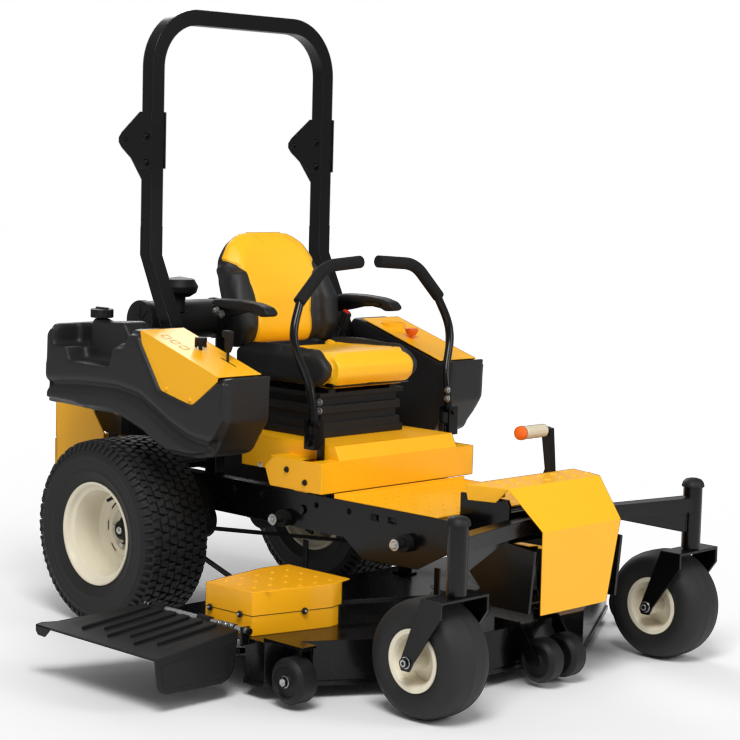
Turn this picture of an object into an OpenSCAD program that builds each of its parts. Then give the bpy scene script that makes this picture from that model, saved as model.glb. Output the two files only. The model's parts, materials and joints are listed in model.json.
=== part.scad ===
// Zero-turn riding lawn mower with a folding roll-over bar.
// X runs forward, Y to the operator's left, Z up. Millimetres.
// Pieces are laid out from the rear axle line at x = 0, y = 0 on the ground,
// and place() then moves the whole machine so that its origin is the centre of its footprint.

/* [Wheels] */
// Distance from the rear axle to the caster king pins
kingpin_x = 1490; // [1440:5:1600]
// Distance of each king pin from the centre line
kingpin_y = 530; // [520:5:560]
// Radius of a rear tyre
rear_r = 298; // [285:1:305]
// Width of a rear tyre
rear_w = 250; // [230:5:255]
// Distance of a rear tyre's middle from the centre line
rear_y = 473; // [470:1:490]
// Radius of the bead seat of a rear rim
rear_rim_r = 152; // [140:1:160]
// Radius of a caster tyre
caster_r = 165; // [150:1:166]
// Width of a caster tyre
caster_w = 160; // [130:5:170]
// Distance a caster's axle lies behind its king pin
caster_trail = 88; // [75:1:92]

/* [Frame] */
// Distance of a side rail's outer face from the centre line
rail_y = 289; // [280:1:300]
// Height of the rails' top
rail_top = 487; // [482:1:492]
// Depth of the rails
rail_h = 110; // [90:5:115]
// Thickness of the frame plates
plate_t = 6; // [4:0.5:8]
// Width of the rails' flanges
flange_w = 40; // [30:5:50]
// Height of the roll-over bar's top
rops_top = 1960; // [1850:10:2050]
// Width of the square roll-over tube
rops_tube = 50; // [45:1:52]
// Wall of the roll-over tube
rops_wall = 5; // [3:0.5:8]
// Distance of a roll-over leg's middle from the centre line
rops_y = 372; // [368:1:376]
// Radius of the hoop's corners
rops_bend = 165; // [120:5:220]

/* [Deck] */
// Half width of the cutting deck
deck_half = 765; // [760:1:790]
// Height of the deck's top
deck_top = 165; // [160:1:170]
// Depth of the deck's skirt
deck_depth = 127; // [110:1:130]
// Distance of the outer spindles from the centre line
spindle_y = 485; // [480:1:490]
// Length of a blade
blade_len = 520; // [480:5:522]
// Width of the discharge chute
chute_w = 315; // [240:5:340]
// Radius of an anti-scalp wheel
scalp_r = 64; // [50:1:65]

/* [Seat and controls] */
// Width of the seat
seat_w = 460; // [400:5:480]
// Height of the seat cushion's top
seat_z = 900; // [895:1:920]
// Height of the backrest's top
back_z = 1263; // [1200:1:1300]
// Radius of a lap bar's tube
lap_r = 13; // [10:0.5:14]
// Radius of a lap bar's foam grip
grip_r = 19; // [16:0.5:21]
// Radius of a steel bolt's shank
bolt_r = 6; // [4:0.5:8]

/* [Hidden] */
$fn = 64;

fit = 0.05;             // radial clearance of a running fit
seat_gap = 0.3;         // gap between a piece and what it rests on
sheet_t = 3;            // panels and covers
yellow = "#F4B41A";
black = "#1C1C1E";
cream = "#EFE3C4";
zinc = "#C9B98A";

guard_x = -600;         // rearmost face of the machine
chute_hinge_y = -(deck_half + 14);
chute_out_y = chute_hinge_y - chute_w;
scalp_y = deck_half - 15;   // middle of the side anti-scalp wheels
side_max = scalp_y + 46;
front_x = kingpin_x - caster_trail + caster_r;
mid_x = (front_x + guard_x) / 2;
mid_y = (side_max + chute_out_y) / 2;
caster_x = kingpin_x - caster_trail;
rail_bottom = rail_top - rail_h;
rail_in = rail_y - flange_w;
rail_front = 1250;
rail_rear = -480;

module place(c) { color(c) translate([-mid_x, -mid_y, 0]) children(); }
// A shape drawn for the left side, put on side s: 1 is left and -1 is right
module on(s) { mirror([0, s < 0 ? 1 : 0, 0]) children(); }
// A plate with an x-z outline, from y0 outwards
module xz_plate(points, y0, t) {
    translate([0, y0 + t, 0]) rotate([90, 0, 0]) linear_extrude(t) polygon(points);
}
// A plate with a y-z outline, from x0 forwards
module yz_plate(points, x0, t) {
    translate([x0, 0, 0]) rotate([90, 0, 90]) linear_extrude(t) polygon(points);
}
// A block between two corners
module block(a, b) { translate(a) cube(b - a); }
// A round bar along Y, centred at [x, y, z]
module bar_y(at, r, len) { translate(at) rotate([90, 0, 0]) cylinder(r = r, h = len, center = true); }
// A round bar along X that starts at a point
module bar_x(at, r, len) { translate(at) rotate([0, 90, 0]) cylinder(r = r, h = len); }
// A round bar from a to b
module rod(a, b, r) {
    d = b - a;
    translate(a) rotate([0, acos(d.z / norm(d)), atan2(d.y, d.x)]) cylinder(r = r, h = norm(d));
}
// A bent bar through points, with ball joints at its bends
module bent_bar(points, r) {
    for (i = [0 : len(points) - 2]) rod(points[i], points[i + 1], r);
    for (i = [1 : len(points) - 2]) translate(points[i]) sphere(r = r + 0.4);
}
// A hexagon bolt head that points along +Y from its seat
module bolt_head(at, r = bolt_r) {
    translate(at) rotate([-90, 0, 0]) {
        cylinder(r = 1.9 * r, h = 2);
        translate([0, 0, 2]) cylinder(r = 1.6 * r, h = r, $fn = 6);
    }
}

// ---------------------------------------------------------------- frame
axle_beam_x = 1418;     // middle of the front axle beam
axle_z = 485;           // height of the front axle's pivot
beam = 44;              // side of the square front axle beam
axle_pin_r = 15;
cover_low = [1469, 234];
cover_bend = [kingpin_x, 478];
cover_top = [1384, 589];
cover_rear_x = 1255;
function cover_x(z) = cover_low.x + (z - cover_low.y) * (cover_bend.x - cover_low.x) / (cover_bend.y - cover_low.y);
nose_y = 200;           // outer face of the front sub-frame plates
nose_x = 1200;          // their rear edge
lift_x = 640;           // lift shaft
lift_z = 435;
lift_r = 14;
pedal_x = 1165;         // foot lever's pivot
pedal_z = 440;
rear_axle_z = rear_r;
bushing_x = [569, 1082];
bushing_z = 400;

module rail_profile(y0, t) {
    difference() {
        xz_plate([[rail_rear, rail_top], [rail_front, rail_top], [rail_front, rail_bottom + 20],
            [1120, rail_bottom - 50], [900, rail_bottom - 55], [820, rail_bottom], [rail_rear,
                rail_bottom]], y0, t);
        for (x = bushing_x) bar_y([x, y0, bushing_z], 12.5, 4 * t);
        for (x = [330, 460, 700, 840]) bar_y([x, y0, rail_top - 30], 9, 4 * t);
        bar_y([lift_x, y0, lift_z], lift_r + fit, 4 * t);
        for (x = [930, 1000]) block([x, y0 - t, rail_top - 42], [x + 34, y0 + 2 * t, rail_top - 24]);
    }
}
module main_frame() {
    place(black) {
        for (s = [-1, 1]) on(s) {
            rail_profile(rail_y - plate_t, plate_t);
            difference() {
                block([rail_rear, rail_in, rail_top - plate_t], [rail_front, rail_y - plate_t, rail_top]);
                for (x = tie_x) translate([x, rail_in + 17,
                    rail_top - 2 * plate_t]) cylinder(r = tie_r, h = 4 * plate_t);
            }
            block([rail_rear, rail_in, rail_bottom], [820, rail_y - plate_t, rail_bottom + plate_t]);
            // front sub-frame plate, notched for the axle beam and closed against the cover
            xz_plate([[nose_x, 555], [1376, 555], [1384, 540], [1384, 435],
                [cover_x(425) - sheet_t - 1 - seat_gap, 425], [cover_x(245) - sheet_t - 1 - seat_gap,
                    245],
                [1335, 245], [nose_x, 370]], nose_y - 10, 10);
            block([rail_front - 20, nose_y, rail_bottom + 20], [rail_front - 14, rail_y - plate_t,
                rail_top - plate_t]);
            // post and pin that carry a lap bar's pivot bracket
            block([lap_pin_x - 10, rail_in + 13, rail_top], [lap_pin_x + 10, lap_y - 24, lap_z + 18]);
            bar_y([lap_pin_x, lap_y - 2, lap_z], lap_pin_r, 68);
            // legs that carry the roll-over bar's cross beam
            block([rops_foot_x - 30, rail_in, rail_top], [rops_foot_x + 30, rail_y, rail_top + plate_t]);
        }
        block([rail_front - 20, -nose_y + 10, rail_bottom + 20], [rail_front - 14, nose_y - 10,
            rail_top]);
        block([rail_rear, -rail_in, rail_bottom], [rail_rear + plate_t, rail_in, rail_top]);
        // engine plate with the crankshaft hole
        difference() {
            block([rail_rear + plate_t, -rail_in, rail_top - plate_t], [-60, rail_in, rail_top]);
            translate([engine_x, 0, rail_top - 2 * plate_t]) cylinder(r = 90, h = 4 * plate_t);
        }
        block([300, -rail_in, rail_bottom], [340, rail_in, rail_bottom + 40]);
        // front pivot bracket for the axle
        difference() {
            union() {
                block([1372, -nose_y + 10, 430], [1384, nose_y - 10, 520]);
                block([1384, -60, 430], [1450, 60, 440]);
                block([1444, -60, 440], [1450, 60, 508]);
            }
            bar_x([1360, 0, axle_z], axle_pin_r, 120);
        }
        // lower cross tube between the nose plates, which carries the deck's front links
        bar_y([1440, 0, 275], 12, 2 * nose_y - 20);
        // boss for the lift lever inside the left rail
        difference() {
            bar_y([pedal_x, rail_y - plate_t - 20, pedal_z], 22, 40);
            bar_y([pedal_x, rail_y - plate_t - 40, pedal_z], lift_r + fit, 70);
        }
        // rear hitch tongue
        difference() {
            block([rail_rear - 70, -45, rail_bottom], [rail_rear, 45, rail_bottom + 10]);
            translate([rail_rear - 40, 0, rail_bottom - 5]) cylinder(r = hitch_r, h = 20);
        }
    }
}
hitch_r = 9.5;
tie_x = [-420, -330];
tie_r = 6.5;
rops_foot_x = 210;
engine_x = -255;

module rear_guard() {
    place(yellow) {
        for (s = [-1, 1]) on(s) {
            // side plate beside the engine, bolted outside the rail
            xz_plate([[-590, 650], [-540, 690], [-400, 640], [-330, 560], [-330, 420], [-470, 390],
                [-590, 420]],
                rail_y + seat_gap, 5);
            // wrapped rear corner
            block([guard_x + 4, 235, 520], [-590, rail_y + 5, 660]);
            block([guard_x, 235, 350], [-590, rail_y + 5, 512]);
        }
        block([guard_x + 4, -235, 470], [-590, 235, 512]);
        block([guard_x + 4, -235, 350], [-590, 235, 372]);
    }
}

// ---------------------------------------------------------------- roll-over bar
rops_x = 3;
rops_pivot = [-105, 1540];  // hinge pin behind the leg: x, z
rops_joint_z = 1481;        // top of the fixed legs
ear_t = 6;
ear_low = rops_joint_z - 30;
ear_high = 1630;
pin_r = 9;
module tube_section() {
    difference() {
        square(rops_tube, center = true);
        square(rops_tube - 2 * rops_wall, center = true);
    }
}
// Side outline of the leaning lower leg: a band of half width h through the points of lean
lean = [[rops_x, 1177], [110, 961], [160, 850], [rops_foot_x, 652]];
function lean_band(h, over) = concat([for (p = lean) p + [h,
    p == lean[0] ? over : p == lean[3] ? -over : 4]],
    [for (i = [3 : -1 : 0]) lean[i] + [-h, i == 0 ? over : i == 3 ? -over : -4]]);
module rops_base() {
    h = rops_tube / 2;
    w = rops_wall;
    place(black) for (s = [-1, 1]) on(s) {
        translate([rops_x, rops_y, 1177]) linear_extrude(rops_joint_z - 1177) tube_section();
        difference() {
            xz_plate(lean_band(h, 0), rops_y - h, rops_tube);
            xz_plate(lean_band(h - w, 1), rops_y - h + w, rops_tube - 2 * w);
        }
        // cross beam and the post that stands on the rail
        block([rops_foot_x - h, 0, 610], [rops_foot_x + h, rops_y + h, 652]);
        block([rops_foot_x - h, rail_in, rail_top + plate_t], [rops_foot_x + h, rail_in + 38, 610]);
        // fixed tongue that carries the hinge pin
        difference() {
            union() {
                xz_plate([[rops_x - h, rops_joint_z - 70], [rops_x - h, rops_joint_z - 4],
                    [rops_pivot.x + 8, rops_pivot.y + 16],
                    [rops_pivot.x - 14, rops_pivot.y - 12]], rops_y - h + 3, rops_tube - 6);
                bar_y([rops_pivot.x, rops_y, rops_pivot.y], 19, rops_tube - 6);
            }
            bar_y([rops_pivot.x, rops_y, rops_pivot.y], pin_r + fit, 100);
        }
    }
}
module rops_hoop() {
    h = rops_tube / 2;
    z0 = rops_joint_z + seat_gap;
    rc = rops_bend;
    place(black) {
        for (s = [-1, 1]) on(s) {
            translate([rops_x, rops_y, z0]) linear_extrude(rops_top - h - rc - z0) tube_section();
            translate([rops_x, rops_y - rc, rops_top - h - rc]) rotate([90, 0, 90])
                rotate_extrude(angle = 90) translate([rc, 0]) tube_section();
            // hinge ears either side of the leg
            for (y = [rops_y - h - ear_t, rops_y + h])
                xz_plate([[rops_x + h + 4, ear_low], [rops_x + h + 4, ear_high], [rops_x - h - 4,
                    ear_high],
                    [rops_pivot.x - 12, rops_pivot.y + 25], [rops_pivot.x - 27, rops_pivot.y + 8],
                    [rops_pivot.x - 27, rops_pivot.y - 8], [rops_pivot.x - 12, rops_pivot.y - 25],
                    [rops_x - h - 4, ear_low]], y, ear_t);
            // hinge pin through the ears, and the heads of the lock pins
            bar_y([rops_pivot.x, rops_y, rops_pivot.y], pin_r, rops_tube + 2 * ear_t + 10);
            for (z = [rops_joint_z - 12, rops_joint_z + 70], e = [-1, 1])
                bar_y([rops_x, rops_y + e * (h + ear_t + 4), z], pin_r + 3, 8);
        }
        translate([rops_x, 0, rops_top - h]) rotate([90, 0, 0])
            linear_extrude(2 * (rops_y - rc), center = true) tube_section();
    }
}
// ---------------------------------------------------------------- engine
module fins(n, pitch) { for (i = [0 : n - 1]) translate([0, i * pitch, 0]) children(); }
module engine_block() {
    place("#55575A") {
        translate([engine_x, 0, rail_top]) cylinder(r = 150, h = 40);
        translate([engine_x, 0, rail_top + 40]) cylinder(r = 135, h = 130);
        for (s = [-1, 1]) on(s) {
            block([engine_x - 185, 40, rail_top + 60], [engine_x - 70, 205, rail_top + 170]);
            translate([engine_x - 200, 70, rail_top + 52]) fins(9, 14) cube([145, 5, 118]);
            block([engine_x - 205, 196, rail_top + 66], [engine_x - 60, 232, rail_top + 164]);
        }
        translate([engine_x, 0, clutch_z + 66]) cylinder(r = 14.2, h = rail_top - clutch_z - 66);
        translate([engine_x - 60, 145, rail_top + 30]) cylinder(r = 34, h = 90);
    }
}
module engine_shroud() {
    z0 = rail_top + 171;
    place(black) {
        difference() {
            union() {
                translate([engine_x, 0, z0]) cylinder(r = 158, h = 96);
                for (s = [-1, 1]) on(s)
                    xz_plate([[engine_x - 212, z0 + 8], [engine_x - 50, z0 + 8], [engine_x - 60,
                        z0 + 70], [engine_x - 180, z0 + 62]],
                        60, 176);
            }
            translate([engine_x, 0, z0 + 86]) cylinder(r = 120, h = 20);
        }
        // rotating-screen grille
        for (r = [24, 50, 76, 102]) translate([engine_x, 0, z0 + 84]) difference() {
            cylinder(r = r + 5, h = 8);
            translate([0, 0, -1]) cylinder(r = r - 5, h = 10);
        }
        for (a = [0 : 45 : 135]) translate([engine_x, 0, z0 + 88]) rotate([0, 0, a]) cube([232, 8,
            8], center = true);
        // oil filler neck
        translate([engine_x + 105, 95, z0 + 80]) cylinder(r = 16, h = 40);
    }
}
cleaner_r = 65;
cleaner_at = [-200, -80, 945];
module air_cleaner() {
    c = cleaner_at;
    place(black) {
        bar_y(c, cleaner_r, 300);
        bar_y([c.x, c.y - 160, c.z], cleaner_r + 4, 22);
        bar_y([c.x, c.y + 155, c.z], cleaner_r + 4, 14);
        for (a = [0 : 45 : 315]) translate([c.x, c.y - 171, c.z]) rotate([0, a, 0]) translate([0, -3,
            -3]) cube([52, 6, 6]);
        // stem and mushroom pre-cleaner
        translate([c.x + 46, c.y - 40, c.z + 30]) cylinder(r = 20, h = 55);
        translate([c.x + 46, c.y - 40, c.z + 82]) rotate_extrude()
            polygon([[0, 0], [34, 0], [56, 14], [62, 34], [48, 58], [0, 66]]);
        // saddle brackets down to the shroud
        block([c.x - 22, -136, rail_top + 267], [c.x + 22, -122, c.z - cleaner_r + 4]);
        block([-165, 52, rail_top + 267], [-121, 66, c.z - 40]);
    }
}
muffler_x = -522;
module muffler() {
    place("#3A3A3C") {
        bar_y([muffler_x, 0, 600], 58, 330);
        for (s = [-1, 1]) on(s) {
            bar_y([muffler_x, 150, 600], 61, 10);
            bent_bar([[engine_x - 206, 214, 600], [-490, 214, 600], [muffler_x, 180, 600],
                [muffler_x, 150, 600]], 15);
            block([muffler_x - 20, 96, 400], [muffler_x + 20, 108, 600]);
            block([muffler_x + 20, 96, 400], [rail_rear, 108, 440]);
        }
        bent_bar([[-520, -60, 560], [-548, -60, 530], [-560, -60, 515]], 14);
    }
}
module battery() {
    place("#2A2A2C") {
        block([66, -110, rail_bottom + 28], [196, 110, rail_bottom + 198]);
        block([60, -116, rail_bottom + 14], [202, 116, rail_bottom + 28]);
        for (y = [-70, 70]) translate([96, y, rail_bottom + 198]) cylinder(r = 9, h = 16);
        block([60, -rail_in - 20, rail_bottom + plate_t + seat_gap], [202, rail_in + 20,
            rail_bottom + 14]);
    }
}
hydro_out = rear_y - 12;     // outer end of the axle shafts
module hydro_drives() {
    place("#8A8C8E") for (s = [-1, 1]) on(s) {
        bar_y([0, 205, rear_axle_z], 62, 160);
        block([-95, 150, rear_axle_z - 40], [60, 265, rear_axle_z + 60]);
        bar_y([0, 315, rear_axle_z], 42, 60);
        bar_y([0, (hydro_out + 285) / 2, rear_axle_z], 16, hydro_out - 285);
        for (i = [0 : 5]) bar_y([0, 298 + i * 8, rear_axle_z], 48, 3);
        // mounting ears up to the rail's lower flange
        block([-60, rail_in + 4, rear_axle_z + 60], [60, rail_in + 26, rail_bottom]);
        // cooling fan and input pulley
        translate([-20, 190, rear_axle_z + 60]) cylinder(r = 12, h = 60);
        translate([-20, 190, rear_axle_z + 96]) cylinder(r = 56, h = 14);
        // oil tank
        translate([60, 200, rear_axle_z + 10]) cylinder(r = 30, h = 60);
    }
}
clutch_z = 192;
clutch_pulley_r = 62;
module engine_clutch() {
    place("#4A4A4C") difference() {
        union() {
            translate([engine_x, 0, clutch_z + 50]) cylinder(r = 58, h = 46);
            translate([engine_x, 0, clutch_z]) cylinder(r = clutch_pulley_r + 12, h = 8);
            translate([engine_x, 0, clutch_z + 8]) cylinder(r = clutch_pulley_r, h = 16);
            translate([engine_x, 0, clutch_z + 24]) cylinder(r = clutch_pulley_r + 12, h = 6);
            translate([engine_x, 0, clutch_z + 30]) cylinder(r = 40, h = 20);
        }
        translate([engine_x, 0, clutch_z + 40]) cylinder(r = 14.2 + fit, h = 90);
    }
}

// ---------------------------------------------------------------- tanks and consoles
tank_in = rops_y + rops_tube / 2 + seat_gap;
tank_out = 582;
tank_side = [[-292, 688], [-283, 912], [-262, 948], [-238, 950], [21, 971], [66, 912], [110, 912],
    [150, 962],
    [200, 955], [560, 842], [614, 851], [607, 713], [540, 612], [518, 600], [468, 590], [431, 585],
    [330, 590], [264, 612], [205, 640], [120, 668], [44, 681]];
cap_at = [-120, 470, 962];
module fuel_tank(s) {
    place("#3B3B3D") on(s) difference() {
        union() {
            xz_plate(tank_side, tank_in, tank_out - tank_in - 22);
            translate([0, tank_out - 22 + 22, 0]) rotate([90, 0, 0]) linear_extrude(22)
                offset(delta = -14) polygon(tank_side);
            // filler neck
            translate([cap_at.x, cap_at.y, 940]) cylinder(r = 26, h = cap_at.z - 940 + 10);
        }
        // stowage recess behind the filler
        block([-232, 470, 880], [-150, tank_out + 1, 975]);
        // bed for the console panel
        xz_plate([[190, 990], [203, 921 - 2], [300, 782 - 2], [445, 751 - 2], [557 + 2, 832 - 2],
            [590, 990]],
            tank_out - 16, 30);
        block([226, tank_in + 20, 790], [520, tank_in + 146, 990]);
    }
}
module fuel_tank_right() { fuel_tank(-1); }
module fuel_tank_left() { fuel_tank(1); }
module fuel_cap(s) {
    place(black) on(s) translate([cap_at.x, cap_at.y, cap_at.z + 10 + seat_gap]) {
        difference() {
            cylinder(r = 36, h = 26);
            for (a = [0 : 30 : 330]) rotate([0, 0, a]) translate([38, 0, -1]) cylinder(r = 5, h = 22);
        }
        translate([-28, -5, 26]) cube([56, 10, 6]);
    }
}
module fuel_cap_right() { fuel_cap(-1); }
module fuel_cap_left() { fuel_cap(1); }

// Height of the sloping console top at x
function console_z(x) = 957 - (x - 200) * 0.31;
throttle_at = [430, 440];
choke_at = [366, 470];
pto_at = [380, 450];
cup_at = [270, 472];
module console_shell(s) {
    // outer bevel panel
    xz_plate([[203, 921], [557, 832], [445, 751], [300, 782]], tank_out - 15.7, sheet_t);
    // sloping top
    difference() {
        xz_plate([[200, console_z(200)], [562, console_z(562)], [562, console_z(562) + sheet_t],
            [200, console_z(200) + sheet_t]], tank_in, tank_out - tank_in - 13);
        if (s < 0) {
            translate([throttle_at.x, throttle_at.y + 0.5, 800]) cube([70, 8, 200]);
            translate([choke_at.x, choke_at.y, 800]) cylinder(r = 6 + fit, h = 200);
        } else {
            translate([cup_at.x, cup_at.y, 800]) cylinder(r = 43, h = 200);
            translate([pto_at.x, pto_at.y, 800]) cylinder(r = 8 + fit, h = 200);
        }
    }
    // pivot tab of the throttle lever
    if (s < 0) block([throttle_at.x + 27, throttle_at.y + 8.3, 832], [throttle_at.x + 43,
        throttle_at.y + 11.3, 874]);
    // skirt that joins the top and the bevel panel
    xz_plate([[203, 921], [557, 832], [562, console_z(562) + sheet_t], [200, console_z(200) + sheet_t]],
        tank_out - 15.7, sheet_t);
}
module console_right() {
    place(yellow) on(-1) {
        console_shell(-1);
        for (p = [[326, 790], [436, 767]]) bolt_head([p.x, tank_out - 12.7, p.y], 4);
    }
}
module console_left() {
    place(yellow) on(1) {
        console_shell(1);
        // cup holder
        translate([cup_at.x, cup_at.y, console_z(cup_at.x) - 70]) difference() {
            cylinder(r = 43, h = 84);
            translate([0, 0, 4]) cylinder(r = 39, h = 90);
        }
    }
}
lever_pivot = [throttle_at.x + 35, -(throttle_at.y + 4.5), 840];
module throttle_lever() {
    p = lever_pivot;
    place(black) {
        bar_y(p, 9, 7);
        rod(p, [p.x - 6, p.y, p.z + 92], 3);
        translate([p.x - 7, p.y, p.z + 90]) rotate([0, 8, 0]) {
            cylinder(r1 = 6, r2 = 14, h = 22);
            translate([-20, -10, 22]) cube([40, 20, 18]);
        }
    }
}
module choke_knob() {
    z = console_z(choke_at.x);
    place(black) translate([choke_at.x, -choke_at.y, z]) {
        translate([0, 0, -50]) cylinder(r = 6, h = 70);
        translate([0, 0, 12]) cylinder(r1 = 11, r2 = 18, h = 20);
        translate([0, 0, 32]) cylinder(r = 18, h = 8);
    }
}
module pto_knob() {
    z = console_z(pto_at.x);
    place("#E06A1E") translate([pto_at.x, pto_at.y, z]) {
        translate([0, 0, -50]) cylinder(r = 8, h = 62);
        translate([0, 0, 12]) cylinder(r1 = 14, r2 = 22, h = 14);
        translate([0, 0, 26]) cylinder(r = 22, h = 10);
    }
}

// ---------------------------------------------------------------- cowl, foot plate, front cover
cowl_front = 770;
cowl_half = 338;
cowl_rear = 330;
cowl_side_h = 595;
cowl_top = 638;
cowl_mid = 258;
lap_pin_x = 694;        // fore-aft pivot of the lap bars
lap_pin_r = 8;
lap_z = 645;
lap_y = 300;            // plane of the lap bars
module cowl() {
    t = sheet_t;
    z0 = rail_top + 1;
    place(yellow) {
        for (s = [-1, 1]) on(s) {
            // side wall, cut away towards the rear
            xz_plate([[cowl_front, z0 + 14], [cowl_front, cowl_side_h], [560, cowl_side_h], [520,
                560], [545, z0 + 14]],
                cowl_half - t, t);
            // side shelf, notched for the lap bar's post
            block([545, cowl_mid, cowl_side_h - t], [lap_pin_x - 24, cowl_half, cowl_side_h]);
            block([lap_pin_x + 26, cowl_mid, cowl_side_h - t], [cowl_front, cowl_half, cowl_side_h]);
            block([545, rail_y - 30, z0 + 14], [lap_pin_x - 24, cowl_half, z0 + 14 + t]);
            // step up to the raised middle
            xz_plate([[cowl_rear, cowl_side_h - 60], [cowl_front - 2, cowl_side_h - 60],
                [cowl_front - 2, cowl_side_h],
                [745, cowl_top], [cowl_rear, cowl_top]], cowl_mid, t);
            // tab onto the rail
            block([600, rail_y - 30, rail_top + seat_gap], [660, rail_y, z0 + 14]);
        }
        block([cowl_front - t, -cowl_half, z0 + 14], [cowl_front, cowl_half, cowl_side_h]);
        xz_plate([[cowl_front - t, cowl_side_h], [cowl_front, cowl_side_h], [745, cowl_top],
            [745 - t, cowl_top - t]],
            -cowl_mid, 2 * cowl_mid);
        block([cowl_rear, -cowl_mid, cowl_top - t], [745 - 1, cowl_mid, cowl_top]);
    }
}
module foot_plate() {
    place(yellow) difference() {
        union() {
            block([775, -rail_y, rail_top + seat_gap], [nose_x - 4, rail_y, rail_top + 4]);
            block([775, -rail_y, rail_top + 4], [779, rail_y, rail_top + 14]);
        }
        for (x = [820 : 60 : 1180], y = [-240 : 60 : 240])
            translate([x, y, rail_top - 5]) cylinder(r = 7, h = 20, $fn = 24);
        block([1110, pedal_y - 20, rail_top - 5], [nose_x, pedal_y + 20, rail_top + 20]);
    }
}
module front_cover() {
    t = sheet_t;
    top_y = 242;
    place(yellow) {
        intersection() {
            xz_plate([cover_low, cover_bend, cover_top, [cover_rear_x, cover_top.y], [cover_rear_x,
                cover_top.y - t],
                [cover_top.x - 1, cover_top.y - t], [cover_bend.x - t - 1, cover_bend.y - 1],
                    [cover_low.x - t, cover_low.y]],
                -top_y - 1, 2 * top_y + 2);
            union() {
                yz_plate([[-149, cover_low.y - 1], [149, cover_low.y - 1], [176, cover_bend.y], [207,
                    cover_top.y + 1],
                    [-207, cover_top.y + 1], [-176, cover_bend.y]], cover_top.x, 200);
                linear_extrude(900) polygon([[cover_rear_x - 1, -top_y], [cover_top.x, -207],
                    [cover_top.x, 207],
                    [cover_rear_x - 1, top_y]]);
            }
        }
        // folded ends of the top strip
        for (s = [-1, 1]) on(s) hull() {
            block([cover_rear_x, top_y - t, cover_top.y - t], [cover_rear_x + 1, top_y, cover_top.y]);
            block([cover_top.x - 1, 207 - t, cover_top.y - t], [cover_top.x, 207, cover_top.y]);
            block([cover_rear_x + 8, top_y - t - 2, 545], [cover_rear_x + 9, top_y - 2, 547]);
            block([cover_top.x - 40, 215 - t, 545], [cover_top.x - 39, 215, 547]);
        }
        // grip bumps
        for (i = [-3 : 3], j = [0, 1])
            translate([1290 + 55 * j, i * 62 + 30 * j - 15, cover_top.y - 1]) cylinder(r1 = 11,
                r2 = 6, h = 5, $fn = 24);
        // mounting tabs down to the sub-frame
        for (s = [-1, 1]) on(s)
            block([1290, nose_y - 34, 555 + seat_gap], [1340, nose_y, cover_top.y - t]);
    }
}
module frame_hardware() {
    place(zinc) {
        for (s = [-1, 1]) on(s) {
            for (x = bushing_x) {
                bar_y([x, rail_y + 10, bushing_z], 12, 50);
                bar_y([x, rail_y + seat_gap + 12, bushing_z], 26, 24);
                bolt_head([x, rail_y + 35, bushing_z], 8);
            }
            for (x = [-450, -350]) bolt_head([x, rail_y + seat_gap + 5, 460], bolt_r);
            bolt_head([620, cowl_half, 560], 5);
            bolt_head([700, cowl_half, 530], 5);
        }
        // front axle pivot bolt
        bar_x([1364, 0, axle_z], axle_pin_r, 92);
        bar_x([1362, 0, axle_z], 24, 10);
        bar_x([1450, 0, axle_z], 20, 8);
    }
}

// ---------------------------------------------------------------- seat
arm_pivot = [190, 262, 1008];
module seat_suspension() {
    place(black) {
        block([250, -185, cowl_top + seat_gap], [600, 185, cowl_top + 22]);
        for (i = [0 : 3])
            block([262 + i % 2 * 10, -175 + i % 2 * 10, cowl_top + 22 + i * 26],
                [596 - i % 2 * 10, 175 - i % 2 * 10, cowl_top + 48 + i * 26]);
        block([250, -185, cowl_top + 126], [600, 185, cowl_top + 140]);
        // slide rails for the seat
        for (y = [-150, 120]) block([240, y, cowl_top + 140], [600, y + 30, cowl_top + 152]);
    }
}
seat_under = cowl_top + 152;
module seat_cushion() {
    place("#E7A90F") {
        xz_plate([[217, 806], [660, 800], [684, 830], [684, 872], [655, seat_z], [500, seat_z - 16],
            [260, seat_z - 22], [217, seat_z - 22]], -(seat_w - 110) / 2, seat_w - 110);
        for (s = [-1, 1]) on(s)
            xz_plate([[217, 806], [560, 806], [600, 830], [605, 885], [560, seat_z + 8], [217, seat_z]],
                (seat_w - 110) / 2, 55);
        // seat pan on the slides
        block([217, -165, seat_under + seat_gap], [640, 165, 806]);
    }
}
module seat_back() {
    place("#E7A90F") {
        xz_plate([[172, seat_z + 6], [240, seat_z + 6], [252, 960], [236, 1050], [176, 1200], [140,
            back_z],
            [96, back_z - 12], [96, 1200], [140, 1040]], -(seat_w - 120) / 2, seat_w - 120);
        for (s = [-1, 1]) on(s)
            xz_plate([[172, seat_z + 12], [262, seat_z + 12], [282, 960], [262, 1050], [196, 1160],
                [130, 1190],
                [108, 1150], [140, 1040]], (seat_w - 120) / 2, 52);
        // side brackets with the armrest pins, joined to the seat pan
        for (s = [-1, 1]) on(s) {
            xz_plate([[160, 880], [215, 880], [215, 1000], [205, 1028], [175, 1028], [160, 1000]],
                seat_w / 2 - 8 + seat_gap + 0.2, 8);
            bar_y([arm_pivot.x, 250, arm_pivot.z], 7, 40);
            block([160, 130, 800], [216.7, seat_w / 2, 812]);
            block([160, seat_w / 2 - 8.5, 800], [204, seat_w / 2, 890]);
        }
    }
}
module armrest(s) {
    p = arm_pivot;
    place(black) on(s) {
        difference() {
            xz_plate([[p.x - 18, p.z - 18], [p.x + 40, p.z - 16], [p.x + 150, p.z + 8], [p.x + 150,
                p.z + 20],
                [p.x - 18, p.z + 20]], 245, 8);
            bar_y([p.x, 250, p.z], 7 + fit, 60);
        }
        block([p.x - 18, 245, p.z + 19], [p.x + 240, 262, p.z + 22]);
        xz_plate([[p.x + 30, p.z + 22], [p.x + 40, p.z + 46], [p.x + 210, p.z + 46], [p.x + 280,
            p.z + 38],
            [p.x + 294, p.z + 22], [p.x + 280, p.z + 10], [p.x + 245, p.z + 12], [p.x + 240,
                p.z + 22]], 245, 62);
    }
}
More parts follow.
